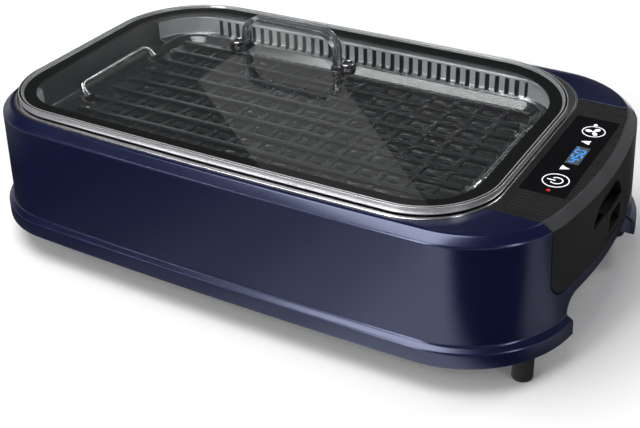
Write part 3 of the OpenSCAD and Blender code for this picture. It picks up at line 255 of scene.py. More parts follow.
def frame_outline(offset):
    """Outer edge of the lid frame, moved outwards."""
    sizes = settings()
    half_l, half_w = half_sizes("lid_frame", sizes.frame_bow)
    return lid_outline(half_l + offset, half_w + offset, sizes.frame_front_r + offset,
                       sizes.frame_back_r + offset, sizes.frame_bow)


def level(outline, height):
    """An outline as a loop at a height."""
    return [Vector((x, y, height)) for x, y in outline]


def tiers(outline, *places):
    """Loops of one outline, each moved outwards by a distance and laid at a height."""
    return [level(outline(offset), height) for offset, height in places]


# Mesh tools


def deselect():
    bpy.ops.object.select_all(action="DESELECT")


def activate(piece):
    """Makes one object the only selected and the active one."""
    deselect()
    piece.select_set(True)
    bpy.context.view_layer.objects.active = piece


@contextmanager
def edit_mode():
    """Holds the active object in edit mode."""
    bpy.ops.object.mode_set(mode="EDIT")
    yield
    bpy.ops.object.mode_set(mode="OBJECT")


def eased(loops, radii, steps=4, closed=False):
    """Rounds the turns between loops: each becomes a curve of loops, over a radius or the widest share of the way."""
    widest = 0.48
    count = len(loops)
    rounded = []
    for i, corner in enumerate(loops):
        at_end = not closed and i in (0, count - 1)
        if at_end or radii[i] == 0:
            rounded.append(corner)
            continue
        before, after = loops[i - 1], loops[(i + 1) % count]
        span_before = max((a - c).length for a, c in zip(before, corner))
        span_after = max((a - c).length for a, c in zip(after, corner))
        back = min(widest, radii[i] / span_before)
        on = min(widest, radii[i] / span_after)
        for step in range(steps + 1):
            t = step / steps
            rounded.append([c + (b - c) * back * (1 - t) ** 2 + (a - c) * on * t ** 2
                            for b, c, a in zip(before, corner, after)])
    return rounded


def lay_loop(piece, places, loop):
    """Lays the selected loop of vertices on new points, and returns where each of them now is."""
    laid = {}
    for vertex in piece.data.vertices:
        if vertex.select:
            index = places[tuple(vertex.co)]
            vertex.co = loop[index]
            laid[tuple(vertex.co)] = index
    return laid


def skin(name, loops, closed=False, capped=False):
    """Skin drawn from loop to loop by extrusion; closed joins the last loop to the first."""
    deselect()
    bpy.ops.mesh.primitive_circle_add(vertices=len(loops[0]), radius=0.1)
    piece = bpy.context.active_object
    piece.name = name
    piece.data.name = name
    places = {tuple(vertex.co): vertex.index for vertex in piece.data.vertices}
    places = lay_loop(piece, places, loops[0])
    for loop in loops[1:] + (loops[:1] if closed else []):
        with edit_mode():
            bpy.ops.mesh.extrude_edges_indiv()
        places = lay_loop(piece, places, loop)
    if capped:
        with edit_mode():
            bpy.ops.mesh.edge_face_add()
            bpy.ops.mesh.select_all(action="DESELECT")
        for vertex in piece.data.vertices[:len(loops[0])]:
            vertex.select = True
        with edit_mode():
            bpy.ops.mesh.edge_face_add()
    activate(piece)
    with edit_mode():
        bpy.ops.mesh.select_all(action="SELECT")
        bpy.ops.mesh.remove_doubles(threshold=MERGE_SKIN)
        bpy.ops.mesh.normals_make_consistent(inside=False)
    return piece


def modify(piece, kind, **values):
    """Adds a modifier to a piece and applies it."""
    modifier = piece.modifiers.new(kind.lower(), kind)
    for name, value in values.items():
        setattr(modifier, name, value)
    activate(piece)
    bpy.ops.object.modifier_apply(modifier=modifier.name)


def carve(piece, tool, operation="DIFFERENCE"):
    """Cuts a piece by a tool that is used up."""
    modify(piece, "BOOLEAN", operation=operation, solver="MANIFOLD", object=tool)
    bpy.data.objects.remove(tool)


def row(piece, step, count):
    """Repeats a piece along a step."""
    modify(piece, "ARRAY", count=count, use_relative_offset=False, use_constant_offset=True,
           constant_offset_displace=step)
    return piece


def bevel(piece, width, segments, degrees):
    """Rounds the edges that turn by more than an angle."""
    modify(piece, "BEVEL", width=width, segments=segments, limit_method="ANGLE", use_clamp_overlap=True,
           angle_limit=math.radians(degrees))


def join(pieces, name):
    """Joins pieces into one with a new name."""
    activate(pieces[0])
    for piece in pieces[1:]:
        piece.select_set(True)
    bpy.ops.object.join()
    pieces[0].name = name
    return pieces[0]


def block(name, low, high):
    """Box between two corners."""
    deselect()
    low, high = Vector(low), Vector(high)
    bpy.ops.mesh.primitive_cube_add(size=1.0, location=(low + high) / 2, scale=high - low)
    piece = bpy.context.active_object
    piece.name = name
    bpy.ops.object.transform_apply()
    return piece


def post(radius, height, centre, sides, rotation=(0, 0, 0)):
    """Cylinder about a centre."""
    deselect()
    bpy.ops.mesh.primitive_cylinder_add(
        vertices=sides, radius=radius, depth=height, location=centre, rotation=rotation)
    bpy.ops.object.transform_apply()
    return bpy.context.active_object


def prism_x(name, section, start):
    """Solid with one section in Y and Z, from a place along X to past the right end."""
    return skin(name, [[Vector((x, y, z)) for y, z in section] for x in (start, PAST_END)], capped=True)


def smooth(piece, degrees):
    """Shades a piece smooth, but for its sharp edges."""
    activate(piece)
    bpy.ops.object.shade_smooth_by_angle(angle=math.radians(degrees))


def softened(name, node, width, segments):
    """Copy of a CAD node with its sharp edges rounded."""
    sharp, flat = 25, 0.5
    piece = bpy.data.objects.new(name, frame["nodes"][node].data.copy())
    bpy.context.scene.collection.objects.link(piece)
    activate(piece)
    with edit_mode():
        bpy.ops.mesh.select_all(action="SELECT")
        bpy.ops.mesh.remove_doubles(threshold=MERGE_COPY)
        bpy.ops.mesh.dissolve_limited(angle_limit=math.radians(flat))
    bevel(piece, width, segments, sharp)
    smooth(piece, sharp)
    return piece


def dress(piece, material, body, *nodes):
    """Gives a piece its finish and its body, and hides the nodes that it stands for."""
    piece.data.materials.clear()
    piece.data.materials.append(material)
    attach(piece, body)
    if nodes:
        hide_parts(*nodes)


def inlay(piece, material, chosen):
    """Gives a second finish to the faces that a test chooses."""
    piece.data.materials.append(material)
    for face in piece.data.polygons:
        if chosen(face):
            face.material_index = 1


# Finishes

# Part of a noise pattern's range that its colours and values are spread over
PATTERN_LOW, PATTERN_HIGH = 0.3, 0.7


def wire(tree, node, inputs):
    """Fills inputs of a shader node: a socket is linked, and anything else is set as a value."""
    for name, given in inputs.items():
        if isinstance(given, bpy.types.NodeSocket):
            tree.links.new(given, node.inputs[name])
        else:
            node.inputs[name].default_value = given
    return node


def add_node(tree, kind, inputs, **values):
    """New shader node with its inputs and its settings."""
    node = tree.nodes.new("ShaderNode" + kind)
    for name, value in values.items():
        setattr(node, name, value)
    return wire(tree, node, inputs)


def worked_out(tree, operation, *terms):
    """Result of a sum on sockets and numbers."""
    return add_node(tree, "Math", dict(enumerate(terms)), operation=operation).outputs[0]


def ranged(tree, value, start, end, low=0.0, high=1.0):
    """A value that runs from low to high while another runs from start to end."""
    return add_node(tree, "MapRange", {
        "Value": value, "From Min": start, "From Max": end, "To Min": low, "To Max": high}).outputs["Result"]


def mixed(tree, share, first, second):
    """Shader that is the first at no share and the second at a full one."""
    return add_node(tree, "MixShader", {0: share, 1: first, 2: second}).outputs["Shader"]


def added(tree, first, second):
    """Sum of two shaders."""
    return add_node(tree, "AddShader", {0: first, 1: second}).outputs["Shader"]


def surface(name):
    """New material with its node tree, its principled shader and its object coordinates."""
    material = bpy.data.materials.new(name)
    material.use_nodes = True
    tree = material.node_tree
    return material, tree, tree.nodes["Principled BSDF"], add_node(tree, "TexCoord", {}).outputs["Object"]


def noise(tree, place, scale, detail=4.0, stretch=None):
    """Noise pattern, drawn out along an axis where a stretch is given."""
    if stretch:
        place = add_node(tree, "Mapping", {"Vector": place, "Scale": stretch}).outputs["Vector"]
    return add_node(tree, "TexNoise", {"Vector": place, "Scale": scale, "Detail": detail}).outputs["Fac"]


def tone(tree, pattern, colour, spread):
    """Colour that varies about its own value."""
    ramp = add_node(tree, "ValToRGB", {"Fac": pattern})
    ends = (PATTERN_LOW, 1 - spread), (PATTERN_HIGH, 1 + spread)
    for element, (spot, share) in zip(ramp.color_ramp.elements, ends):
        element.position = spot
        element.color = (*[min(1.0, c * share) for c in colour], 1)
    return ramp.outputs["Color"]


def about(tree, pattern, middle, swing):
    """Number that varies about a middle value."""
    return ranged(tree, pattern, PATTERN_LOW, PATTERN_HIGH, middle - swing, middle + swing)


def relief(tree, pattern, depth, edge=0.0):
    """Normal of a raised pattern, with rounded edges where an edge radius is given."""
    inputs = {"Height": pattern, "Distance": depth}
    if edge:
        inputs["Normal"] = add_node(tree, "Bevel", {"Radius": edge}, samples=4).outputs["Normal"]
    return add_node(tree, "Bump", inputs).outputs["Normal"]


def moulded(name, colour, rough, grain=900.0, depth=0.02 * MM, spread=0.12, edge=0.3 * MM, coat=0.0, gloss=0.3):
    """Moulded plastic, rubber or enamel with a fine grain."""
    material, tree, shader, place = surface(name)
    broad = noise(tree, place, 35.0)
    wire(tree, shader, {
        "Base Color": tone(tree, broad, colour, spread),
        "Roughness": about(tree, broad, rough, 0.04),
        "Specular IOR Level": gloss,
        "Coat Weight": coat,
        "Coat Roughness": 0.08,
        "Normal": relief(tree, noise(tree, place, grain), depth, edge),
    })
    return material


def metal(name, colour, rough, stretch=None, grain=300.0, depth=0.004 * MM, edge=0.3 * MM, share=1.0):
    """Metal with a drawn or a cast grain; a share below one lets the colour show as paint does."""
    material, tree, shader, place = surface(name)
    fine = noise(tree, place, grain, stretch=stretch)
    wire(tree, shader, {
        "Base Color": tone(tree, noise(tree, place, 22.0), colour, 0.06),
        "Roughness": about(tree, fine, rough, 0.05),
        "Metallic": share,
        "Normal": relief(tree, fine, depth, edge),
    })
    return material


def navy_paint():
    """Satin navy paint with a fine fleck under a clear coat."""
    material, tree, shader, place = surface("navy_paint")
    fleck = noise(tree, place, 2600.0, 2.0)
    wire(tree, shader, {
        "Base Color": tone(tree, fleck, bpy.context.scene.grill_colours.navy, 0.25),
        "Roughness": about(tree, noise(tree, place, 14.0), 0.22, 0.02),
        "Specular IOR Level": 0.9,
        "Specular Tint": (0.58, 0.66, 1.0, 1),
        "Coat Weight": 0.25,
        "Coat Roughness": 0.14,
        "Normal": relief(tree, fleck, 0.002 * MM, 0.6 * MM),
    })
    return material


def let_light_through(tree, shader, tint):
    """Lets lamp and bounce rays pass a clear shader, so that what lies behind it stays lit."""
    path = add_node(tree, "LightPath", {}).outputs
    passing = worked_out(tree, "MAXIMUM", path["Is Shadow Ray"], path["Is Diffuse Ray"])
    clear = add_node(tree, "BsdfTransparent", {"Color": (*tint, 1)})
    surfaces = mixed(tree, passing, shader.outputs["BSDF"], clear.outputs["BSDF"])
    wire(tree, tree.nodes["Material Output"], {"Surface": surfaces})


def clear_glass():
    """Toughened clear glass with a faint smudge in its gloss."""
    material, tree, shader, place = surface("lid_clear")
    wire(tree, shader, {
        "Base Color": (0.93, 0.95, 0.95, 1),
        "Roughness": about(tree, noise(tree, place, 18.0), 0.015, 0.015),
        "Transmission Weight": 1.0,
        "IOR": 1.45,
    })
    let_light_through(tree, shader, (0.9, 0.92, 0.92))
    return material


def smoky_plastic():
    """Smoky glossy plastic of the lid handle."""
    material, tree, shader, place = surface("handle_smoke")
    broad = noise(tree, place, 30.0)
    wire(tree, shader, {
        "Base Color": tone(tree, broad, (0.38, 0.39, 0.41), 0.1),
        "Roughness": about(tree, broad, 0.06, 0.02),
        "Transmission Weight": 0.95,
        "IOR": 1.35,
    })
    let_light_through(tree, shader, (0.35, 0.36, 0.38))
    return material


def plate_coating():
    """Dark non-stick coating with a fine pebble and a hard gloss along its edges."""
    material, tree, shader, place = surface("plate_coat")
    broad = noise(tree, place, 40.0)
    wire(tree, shader, {
        "Base Color": tone(tree, broad, bpy.context.scene.grill_colours.coating, 0.25),
        "Roughness": about(tree, broad, 0.3, 0.04),
        "Specular IOR Level": 0.1,
        "Coat Weight": 1.0,
        "Coat IOR": 1.8,
        "Coat Roughness": 0.12,
        "Normal": relief(tree, noise(tree, place, 1500.0), 0.008 * MM),
    })
    return material


def glowing(name, colour, strength):
    """Lit surface with a faint mottle."""
    material, tree, shader, place = surface(name)
    mottled = tone(tree, noise(tree, place, 400.0), colour, 0.1)
    wire(tree, shader, {
        "Base Color": mottled, "Emission Color": mottled, "Emission Strength": strength, "Roughness": 0.3})
    return material


def finishes():
    """Every finish by the record's slot name, and those of single faces and digits by their own."""
    colours = bpy.context.scene.grill_colours
    black = tuple(colours.black)
    band = tuple(colours.band)
    plastics = {
        "black_plastic": dict(colour=black, rough=0.42),
        "cover_black": dict(colour=(0.015, 0.015, 0.016), rough=0.55, grain=500.0, depth=0.06 * MM),
        "foot_rubber": dict(colour=(0.012, 0.012, 0.012), rough=0.7, grain=700.0, depth=0.06 * MM),
        "tub_enamel": dict(colour=(0.07, 0.07, 0.073), rough=0.36, grain=500.0, gloss=0.6),
        "ceramic": dict(colour=(0.62, 0.58, 0.5), rough=0.6, grain=700.0, depth=0.04 * MM),
        "wire_red": dict(colour=(0.45, 0.02, 0.015), rough=0.4),
        "gasket_black": dict(colour=(0.005, 0.005, 0.005), rough=0.6, grain=800.0, depth=0.03 * MM, gloss=0.12),
        "cap_black": dict(colour=(0.012, 0.012, 0.013), rough=0.1, depth=0.004 * MM, coat=0.6, gloss=0.5),
        "module_dark": dict(colour=black, rough=0.34, grain=1200.0, depth=0.01 * MM, edge=0.5 * MM, gloss=0.2),
        "module_trim": dict(colour=band, rough=0.3, grain=1200.0, depth=0.01 * MM, edge=0.4 * MM),
        "panel_black": dict(colour=(0.003, 0.003, 0.004), rough=0.05, grain=40.0, depth=0.0, spread=0.1),
        "pcb_green": dict(colour=(0.01, 0.12, 0.04), rough=0.4),
        "part_grey": dict(colour=(0.05, 0.05, 0.055), rough=0.5),
        "connector_ivory": dict(colour=(0.7, 0.66, 0.56), rough=0.45),
        "fan_grey": dict(colour=(0.03, 0.03, 0.032), rough=0.45),
    }
    metals = {
        "screw_steel": dict(colour=(0.5, 0.5, 0.51), rough=0.35),
        "stainless": dict(colour=tuple(colours.steel), rough=0.16, stretch=(1, 1, 6), grain=1500.0,
                          depth=0.0005 * MM),
        "shield_alu": dict(colour=(0.62, 0.62, 0.62), rough=0.45),
        "copper_alloy": dict(colour=(0.72, 0.5, 0.22), rough=0.3),
        "guard_steel": dict(colour=(0.76, 0.76, 0.77), rough=0.36, stretch=(0.05, 0.05, 1), grain=1600.0,
                            depth=0.002 * MM, share=0.42),
        # Darker copy of the guard steel for the guards' upward foot faces: painted shade
        "guard_foot": dict(colour=(0.26, 0.26, 0.265), rough=0.28, grain=1600.0, depth=0.001 * MM),
        "bar_steel": dict(colour=(0.5, 0.5, 0.51), rough=0.18),
        "rim_silver": dict(colour=(0.6, 0.6, 0.61), rough=0.3, grain=1500.0, depth=0.0003 * MM, share=0.65),
        "element_sheath": dict(colour=(0.16, 0.155, 0.16), rough=0.4, grain=700.0, depth=0.02 * MM),
        "tray_alu": dict(colour=(0.66, 0.66, 0.66), rough=0.38),
        "motor_steel": dict(colour=(0.45, 0.45, 0.46), rough=0.4),
    }
    lights = {
        "lcd": dict(colour=(0.06, 0.065, 0.075), strength=0.25),
        "icon_white": dict(colour=(0.85, 0.87, 0.9), strength=0.35),
        "led_red": dict(colour=(0.5, 0.015, 0.01), strength=0.3),
        "digit_blue": dict(colour=(0.02, 0.25, 0.8), strength=0.9),
    }
    made = {"navy_shell": navy_paint(), "lid_clear": clear_glass(), "handle_smoke": smoky_plastic(),
            "plate_coat": plate_coating()}
    for maker, rows in ((moulded, plastics), (metal, metals), (glowing, lights)):
        made.update({name: maker(name, **looks) for name, looks in rows.items()})
    return made


# Finishes by name, filled in by their operator
FINISH = {}


# Pieces of the base


def bay_section(gap):
    """Section of the module's bay in Y and Z, open to the top."""
    sizes = settings()
    half_w = sizes.module_w / 2 + gap
    floor = box("module_housing")[0].z - gap
    top = box("base_housing")[1].z + 10 * MM
    radius = sizes.module_r
    return (arc((half_w - radius, floor + radius), radius, -90, 0, 8) + [(half_w, top), (-half_w, top)]
            + arc((radius - half_w, floor + radius), radius, 180, 270, 8))


def grip_section(gap):
    """Section of the grip arch in Y and Z, open to the bottom."""
    sizes = settings()
    half_w = sizes.grip_w / 2 + gap
    foot = box("base_housing")[0].z
    top = foot + sizes.grip_h + gap
    radius = sizes.grip_r + gap
    return ([(-half_w, foot - 5 * MM), (half_w, foot - 5 * MM)]
            + arc((half_w - radius, top - radius), radius, 0, 90, 10)
            + arc((radius - half_w, top - radius), radius, 90, 180, 10))


def grip_back():
    """Place along X of the grip pocket's back."""
    sizes = settings()
    return body_cx() + sizes.body_l / 2 - sizes.grip_depth


def wall_levels(inset):
    """Loops of the base's wall from the skirt up to the deck edge, moved inwards."""
    sizes = settings()
    foot, deck = heights("base_housing")
    skirt_top = foot + sizes.skirt_h
    skirt_lean = 0.5 * MM
    return tiers(body_outline, (sizes.skirt_reach - inset, foot),
                 (sizes.skirt_reach - skirt_lean - inset, skirt_top),
                 (sizes.wall_reach - inset, skirt_top + sizes.skirt_slope),
                 (sizes.chamfer_reach - inset, deck - sizes.chamfer_drop), (-inset, deck))


def base_shell():
    """Navy shell: skirt, wall, chamfer, deck and the rebate that the trim ring lies in."""
    sizes = settings()
    foot, deck = heights("base_housing")
    rebate = box("trim_ring")[0].z - TUB_T
    mouth = 2.6 * MM
    sink = 1.4 * MM
    inner = [[Vector((p.x, p.y, p.z - sink)) for p in loop] for loop in wall_levels(sizes.wall_t)]
    inner[-1] = level(body_outline(-sizes.wall_t), deck - sizes.deck_t)
    inner[0] = level(body_outline(sizes.skirt_reach - sizes.wall_t), foot)
    loops = wall_levels(0.0)
    loops += tiers(trim_outline, (sizes.seam, deck), (sizes.seam, rebate))
    loops += tiers(tub_outline, (mouth, rebate), (mouth, deck - sizes.deck_t))
    loops += inner[::-1]
    turns = [0.6 * MM, 1.2 * MM, 1.6 * MM, 1.3 * MM, 1.4 * MM, 0.5 * MM]
    turns += [0.0] * (len(loops) - len(turns))
    shell = skin("navy_shell", eased(loops, turns, 5, closed=True), closed=True)
    bay_start = box("module_housing")[0].x - 10 * MM
    carve(shell, prism_x("bay", bay_section(sizes.seam), bay_start))
    carve(shell, prism_x("arch", grip_section(0.0), grip_back()))
    return shell


def grip_pocket():
    """Pocket behind the grip arch, open to the bottom and to the right."""
    wall = settings().wall_t
    overlap = 0.2 * MM
    pocket = prism_x("grip_pocket", grip_section(wall), grip_back() - wall)
    carve(pocket, skin("inside", wall_levels(wall - overlap), capped=True), "INTERSECT")
    carve(pocket, prism_x("arch", grip_section(0.0), grip_back()))
    return pocket


def screw_bosses():
    """Six screw bosses inside the long walls, over the cover screws."""
    low, high = box("cover_screws")
    boss_r, boss_h = 4.5 * MM, 22 * MM
    head_r = 3 * MM
    step_x = (high.x - low.x) / 2 - head_r
    middle_z = box("bottom_cover")[0].z + 13.8 * MM
    return join([post(boss_r, boss_h, (body_cx() + i * step_x, side * (high.y - head_r), middle_z), 24)
                 for i in (-1, 0, 1) for side in (-1, 1)], "screw_bosses")


class OBJECT_OT_grill_base(bpy.types.Operator):
    """Model the navy base with its grip pocket and its screw bosses"""

    bl_idname = "object.grill_base"
    bl_label = "Base"

    def execute(self, context):
        for piece, sharp in ((base_shell(), 24), (grip_pocket(), 30), (screw_bosses(), 30)):
            smooth(piece, sharp)
            dress(piece, FINISH["navy_shell"], "base", "base_housing")
        return {"FINISHED"}


class OBJECT_OT_grill_trim(bpy.types.Operator):
    """Model the stainless trim ring with its raised bead"""

    bl_idname = "object.grill_trim"
    bl_label = "Trim ring"

    def execute(self, context):
        foot, bead = heights("trim_ring")
        flat = bead - 0.3 * MM
        inside = -context.scene.grill_sizes.trim_w
        loops = tiers(trim_outline, (0.0, foot), (0.0, bead), (-1.3 * MM, bead), (-1.7 * MM, flat),
                      (inside, flat), (inside, foot))
        turns = [0, 0.6 * MM, 0.3 * MM, 0.2 * MM, 0.7 * MM, 0]
        ring = skin("trim_ring_steel", eased(loops, turns, closed=True), closed=True)
        smooth(ring, 40)
        dress(ring, FINISH["stainless"], "base", "trim_ring")
        return {"FINISHED"}


def tub_loops(thick):
    """Loops of the tub from its floor to its top, moved outwards by its thickness."""
    sizes = settings()
    foot, top = heights("inner_tub")
    plate_low, plate_high = box("grill_plate")
    ledge = plate_low.z - 0.3 * MM - thick
    well_l = (plate_high.x - plate_low.x) / 2 - 6 * MM + thick
    well_w = (plate_high.y - plate_low.y) / 2 - 7.6 * MM + thick
    well_r = sizes.well_r + thick
    draft = 4 * MM
    floor_r = well_r - 2 * MM
    ledge_r = sizes.trim_r - sizes.trim_w - 4 * MM + thick
    half_l, half_w = half_sizes("trim_ring", sizes.trim_bow)
    lean = sizes.trim_w + 5 * MM - thick
    return [
        level(lid_outline(well_l - draft, well_w - draft, floor_r, floor_r, 0.0), foot + TUB_T - thick),
        level(lid_outline(well_l, well_w, well_r, well_r, 0.0), ledge),
        level(lid_outline(half_l - lean, half_w - lean, ledge_r, ledge_r, sizes.trim_bow), ledge),
        level(tub_outline(thick), top - TUB_T),
    ]


class OBJECT_OT_grill_tub(bpy.types.Operator):
    """Model the pressed inner tub with its ledge, flange, air slots and the holes of the element"""

    bl_idname = "object.grill_tub"
    bl_label = "Inner tub"

    def execute(self, context):
        foot, top = heights("inner_tub")
        flange = -2 * MM
        inside = tub_loops(0.0)
        inside[-1] = level(tub_outline(0.0), top)
        loops = inside + tiers(trim_outline, (flange, top), (flange, top - TUB_T)) + tub_loops(TUB_T)[::-1]
        turns = [0, 2.5 * MM, 4 * MM, 0, 0, 0, 0, 4 * MM, 2.5 * MM, 0]
        tub = skin("inner_tub_sheet", eased(loops, turns), capped=True)
        wall = box("smoke_guard_back")[1].x
        vents, pitch, vent_w = 13, 9 * MM, 4 * MM
        vent_foot, vent_h = foot + 44.9 * MM, 14 * MM
        first = -(vents - 1) / 2 * pitch - vent_w / 2
        vent = block("vents", (wall - 8 * MM, first, vent_foot), (wall + 22 * MM, first + vent_w, vent_foot + vent_h))
        carve(tub, row(vent, (0, pitch, 0), vents))
        socket_low, socket_high = box("element_socket")
        hole_x = (socket_low.x + socket_high.x) / 2
        hole_y = socket_high.y - 9 * MM
        hole_r, hole_h = 4.4 * MM, 10 * MM
        for side in (-1, 1):
            carve(tub, post(hole_r, hole_h, (hole_x, side * hole_y, foot), 32))
        smooth(tub, 28)
        dress(tub, FINISH["tub_enamel"], "base", "inner_tub")
        return {"FINISHED"}


def guard_loops():
    """Loops round the section of the smoke guards, outside up and inside down."""
    sizes = settings()
    low, high = box("smoke_guard_back")
    plate_low, plate_high = box("grill_plate")
    leg_l = (plate_high.x - plate_low.x) / 2 + 1.8 * MM
    leg_w = (plate_high.y - plate_low.y) / 2 + 1.6 * MM
    leg_r = 29.7 * MM
    half_l, half_w = half_sizes("trim_ring", sizes.trim_bow)
    lean = sizes.trim_w + 7.5 * MM
    sheet_r = sizes.trim_r - sizes.trim_w - 5 * MM
    lip_r = sheet_r + 3 * MM

    def leg(gap):
        return lid_outline(leg_l + gap, leg_w + gap, leg_r + gap, leg_r + gap, 0.0)

    def sheet(gap):
        radius = sheet_r + gap
        return lid_outline(half_l - lean + gap, half_w - lean + gap, radius, radius, sizes.trim_bow)

    def lip(gap):
        reach = sizes.trim_w + 1.6 * MM - gap
        return lid_outline(half_l - reach, half_w - reach, lip_r + gap, lip_r + gap, sizes.trim_bow)

    slope = low.z + 3.2 * MM
    foot = slope + 4 * MM
    top = foot + 16 * MM
    inside = -1.0 * MM
    loops = tiers(leg, (0, low.z), (0, slope)) + tiers(sheet, (0, foot), (0, top))
    loops += tiers(lip, (0, high.z), (inside, high.z))
    loops += tiers(sheet, (inside, top + 0.3 * MM), (inside, foot + 0.4 * MM))
    loops += tiers(leg, (inside, slope + 0.4 * MM), (inside, low.z))
    up = [0, 1 * MM, 1.5 * MM, 1.5 * MM, 0.4 * MM]
    return eased(loops, up + up[::-1], closed=True)


class OBJECT_OT_grill_guards(bpy.types.Operator):
    """Model the plain front smoke guard and the slotted back one"""

    bl_idname = "object.grill_guards"
    bl_label = "Smoke guards"

    def execute(self, context):
        sizes = context.scene.grill_sizes
        low, high = box("smoke_guard_back")
        loops = guard_loops()
        slots, aside = 35, 5 * MM
        slot_foot, slot_h = low.z + 5.7 * MM, 15.4 * MM
        foot_top = low.z + 8.5 * MM
        reach = 0.3
        for name, side, node in (("front_guard", -1, "smoke_guard_front"), ("back_guard", 1, "smoke_guard_back")):
            guard = skin(name, loops, closed=True)
            half = block("half", (-0.5, -reach, 0.0), (0.5, reach, 0.2))
            for vertex in half.data.vertices:
                vertex.co.y += side * (sizes.guard_open / 2 - reach)
            carve(guard, half)
            if side > 0:
                first = lid_cx() + aside - (slots - 1) / 2 * sizes.slot_pitch - sizes.slot_w / 2
                slot = block("slots", (first, low.y + 35 * MM, slot_foot),
                             (first + sizes.slot_w, high.y + 5 * MM, slot_foot + slot_h))
                carve(guard, row(slot, (sizes.slot_pitch, 0, 0), slots))
            smooth(guard, 28)
            dress(guard, FINISH["guard_steel"], "base", node)
            # The upward-facing foot faces low on each guard get the darker copy of the steel as painted shade
            inlay(guard, FINISH["guard_foot"], lambda face: face.normal.z > 0.5 and face.center.z < foot_top)
        return {"FINISHED"}


# Pieces of the lid


class OBJECT_OT_grill_lid_frame(bpy.types.Operator):
    """Model the lid's edge frame with its groove, and the gasket under it"""

    bl_idname = "object.grill_lid_frame"
    bl_label = "Lid frame and gasket"

    def execute(self, context):
        foot, top = heights("lid_frame")
        glass_foot, glass_top = heights("lid_glass")
        groove = top - 0.5 * MM
        groove_out, groove_in = -0.65 * MM, -2.4 * MM
        lip, pocket, shelf = -3 * MM, -0.9 * MM, -4.5 * MM
        play = 0.05 * MM
        loops = tiers(
            frame_outline, (0.0, foot), (0.0, top), (groove_out, top), (groove_out - play, groove),
            (groove_in + play, groove), (groove_in, top), (lip, top), (lip, glass_top + play),
            (pocket, glass_top + play), (pocket, glass_foot - play), (shelf, glass_foot - play), (shelf, foot))
        turns = [0.2 * MM, 0.6 * MM, 0.05 * MM, 0, 0, 0.1 * MM, 0.3 * MM, 0, 0, 0, 0, 0]
        ring = skin("lid_edge", eased(loops, turns, closed=True), closed=True)
        smooth(ring, 40)
        dress(ring, FINISH["rim_silver"], "lid", "lid_frame")
        inlay(ring, FINISH["gasket_black"], lambda face: abs(face.center.z - groove) < play)
        foot, top = heights("lid_gasket")
        step = foot + 0.6 * MM
        outer, collar, inner = -0.6 * MM, -4.6 * MM, -14.6 * MM
        loops = tiers(frame_outline, (outer, foot), (outer, step), (collar, step), (collar, top), (inner, top),
                      (inner, foot))
        gasket = skin("lid_gasket_ring", loops, closed=True)
        smooth(gasket, 30)
        dress(gasket, FINISH["gasket_black"], "lid", "lid_gasket")
        return {"FINISHED"}


def handle_path(half_w, height, radius):
    """Middle line of the handle's arch in X and Z, with its tilt at each point."""
    steps = 8
    path = [(-half_w, 0.0, 0.0)]
    for i in range(steps + 1):
        turned = 90 * i / steps
        a = math.radians(180 - turned)
        path.append((radius - half_w + radius * math.cos(a), height - radius + radius * math.sin(a),
                     math.radians(turned)))
    path += [(-x, z, math.pi - tilt) for x, z, tilt in reversed(path)]
    return path


def handle_arch(middle, foot, top, half, outer, thick):
    """Arch of the lid handle, one rounded section all along its path."""
    turn = 1.6 * MM
    bend = 18 * MM
    corners = [(half - turn, thick / 2 - turn, 0), (turn - half, thick / 2 - turn, 90),
               (turn - half, turn - thick / 2, 180), (half - turn, turn - thick / 2, 270)]
    section = [point for across, out, start in corners for point in arc((across, out), turn, start, start + 90, 4)]
    loops = []
    for x, z, tilt in handle_path(outer - thick / 2, top - foot - thick / 2, bend - thick / 2):
        normal = Vector((-math.cos(tilt), 0, math.sin(tilt)))
        loops.append([Vector((middle.x + x, middle.y + across, foot + z)) + normal * out
                      for across, out in section])
    return skin("lid_handle_arch", loops, capped=True)


class OBJECT_OT_grill_handle(bpy.types.Operator):
    """Model the smoky arch of the lid handle with its two foot pads and their caps"""

    bl_idname = "object.grill_handle"
    bl_label = "Lid handle"

    def execute(self, context):
        low, high = box("lid_handle")
        middle = (low + high) / 2
        caps_low, caps_high = box("handle_caps")
        reach = (caps_high.x - caps_low.x) / 2 - (caps_high.y - caps_low.y) / 2
        narrower = 0.66
        half = (high.y - low.y) * narrower / 2
        outer = 48.5 * MM
        thick = context.scene.grill_sizes.handle_t
        pad_r, pad_t = 7.5 * MM, 4 * MM
        arch = handle_arch(middle, low.z, high.z, half, outer, thick)
        for side in (-1, 1):
            pad_x = middle.x + side * reach
            pad = post(pad_r, pad_t, (pad_x, middle.y, low.z + pad_t / 2), 48)
            inner, end = sorted((middle.x + side * (outer - thick), pad_x))
            bridge = block("bridge", (inner, middle.y - pad_r, low.z), (end, middle.y + pad_r, low.z + pad_t))
            carve(pad, bridge, "UNION")
            carve(arch, pad, "UNION")
        bevel(arch, 0.8 * MM, 3, 50)
        smooth(arch, 40)
        dress(arch, FINISH["handle_smoke"], "lid", "lid_handle")
        caps = softened("lid_handle_caps", "handle_caps", 0.3 * MM, 2)
        dress(caps, FINISH["cap_black"], "lid", "handle_caps")
        rim = caps_high.z - 0.35 * MM
        inlay(caps, FINISH["bar_steel"], lambda face: face.center.z > rim)
        return {"FINISHED"}


# Grill plate


class OBJECT_OT_grill_plate(bpy.types.Operator):
    """Round the edges of the cast grill plate"""

    bl_idname = "object.grill_plate"
    bl_label = "Grill plate"

    def execute(self, context):
        plate = softened("cast_plate", "grill_plate", 1.2 * MM, 3)
        dress(plate, FINISH["plate_coat"], "plate", "grill_plate")
        return {"FINISHED"}


# Control module


def module_block(name, gap, start, *places):
    """Solid within the base's outline at two levels, kept inside the module's width by a gap."""
    solid = skin(name, tiers(body_outline, *places), capped=True)
    carve(solid, prism_x("width", bay_section(gap), start), "INTERSECT")
    return solid


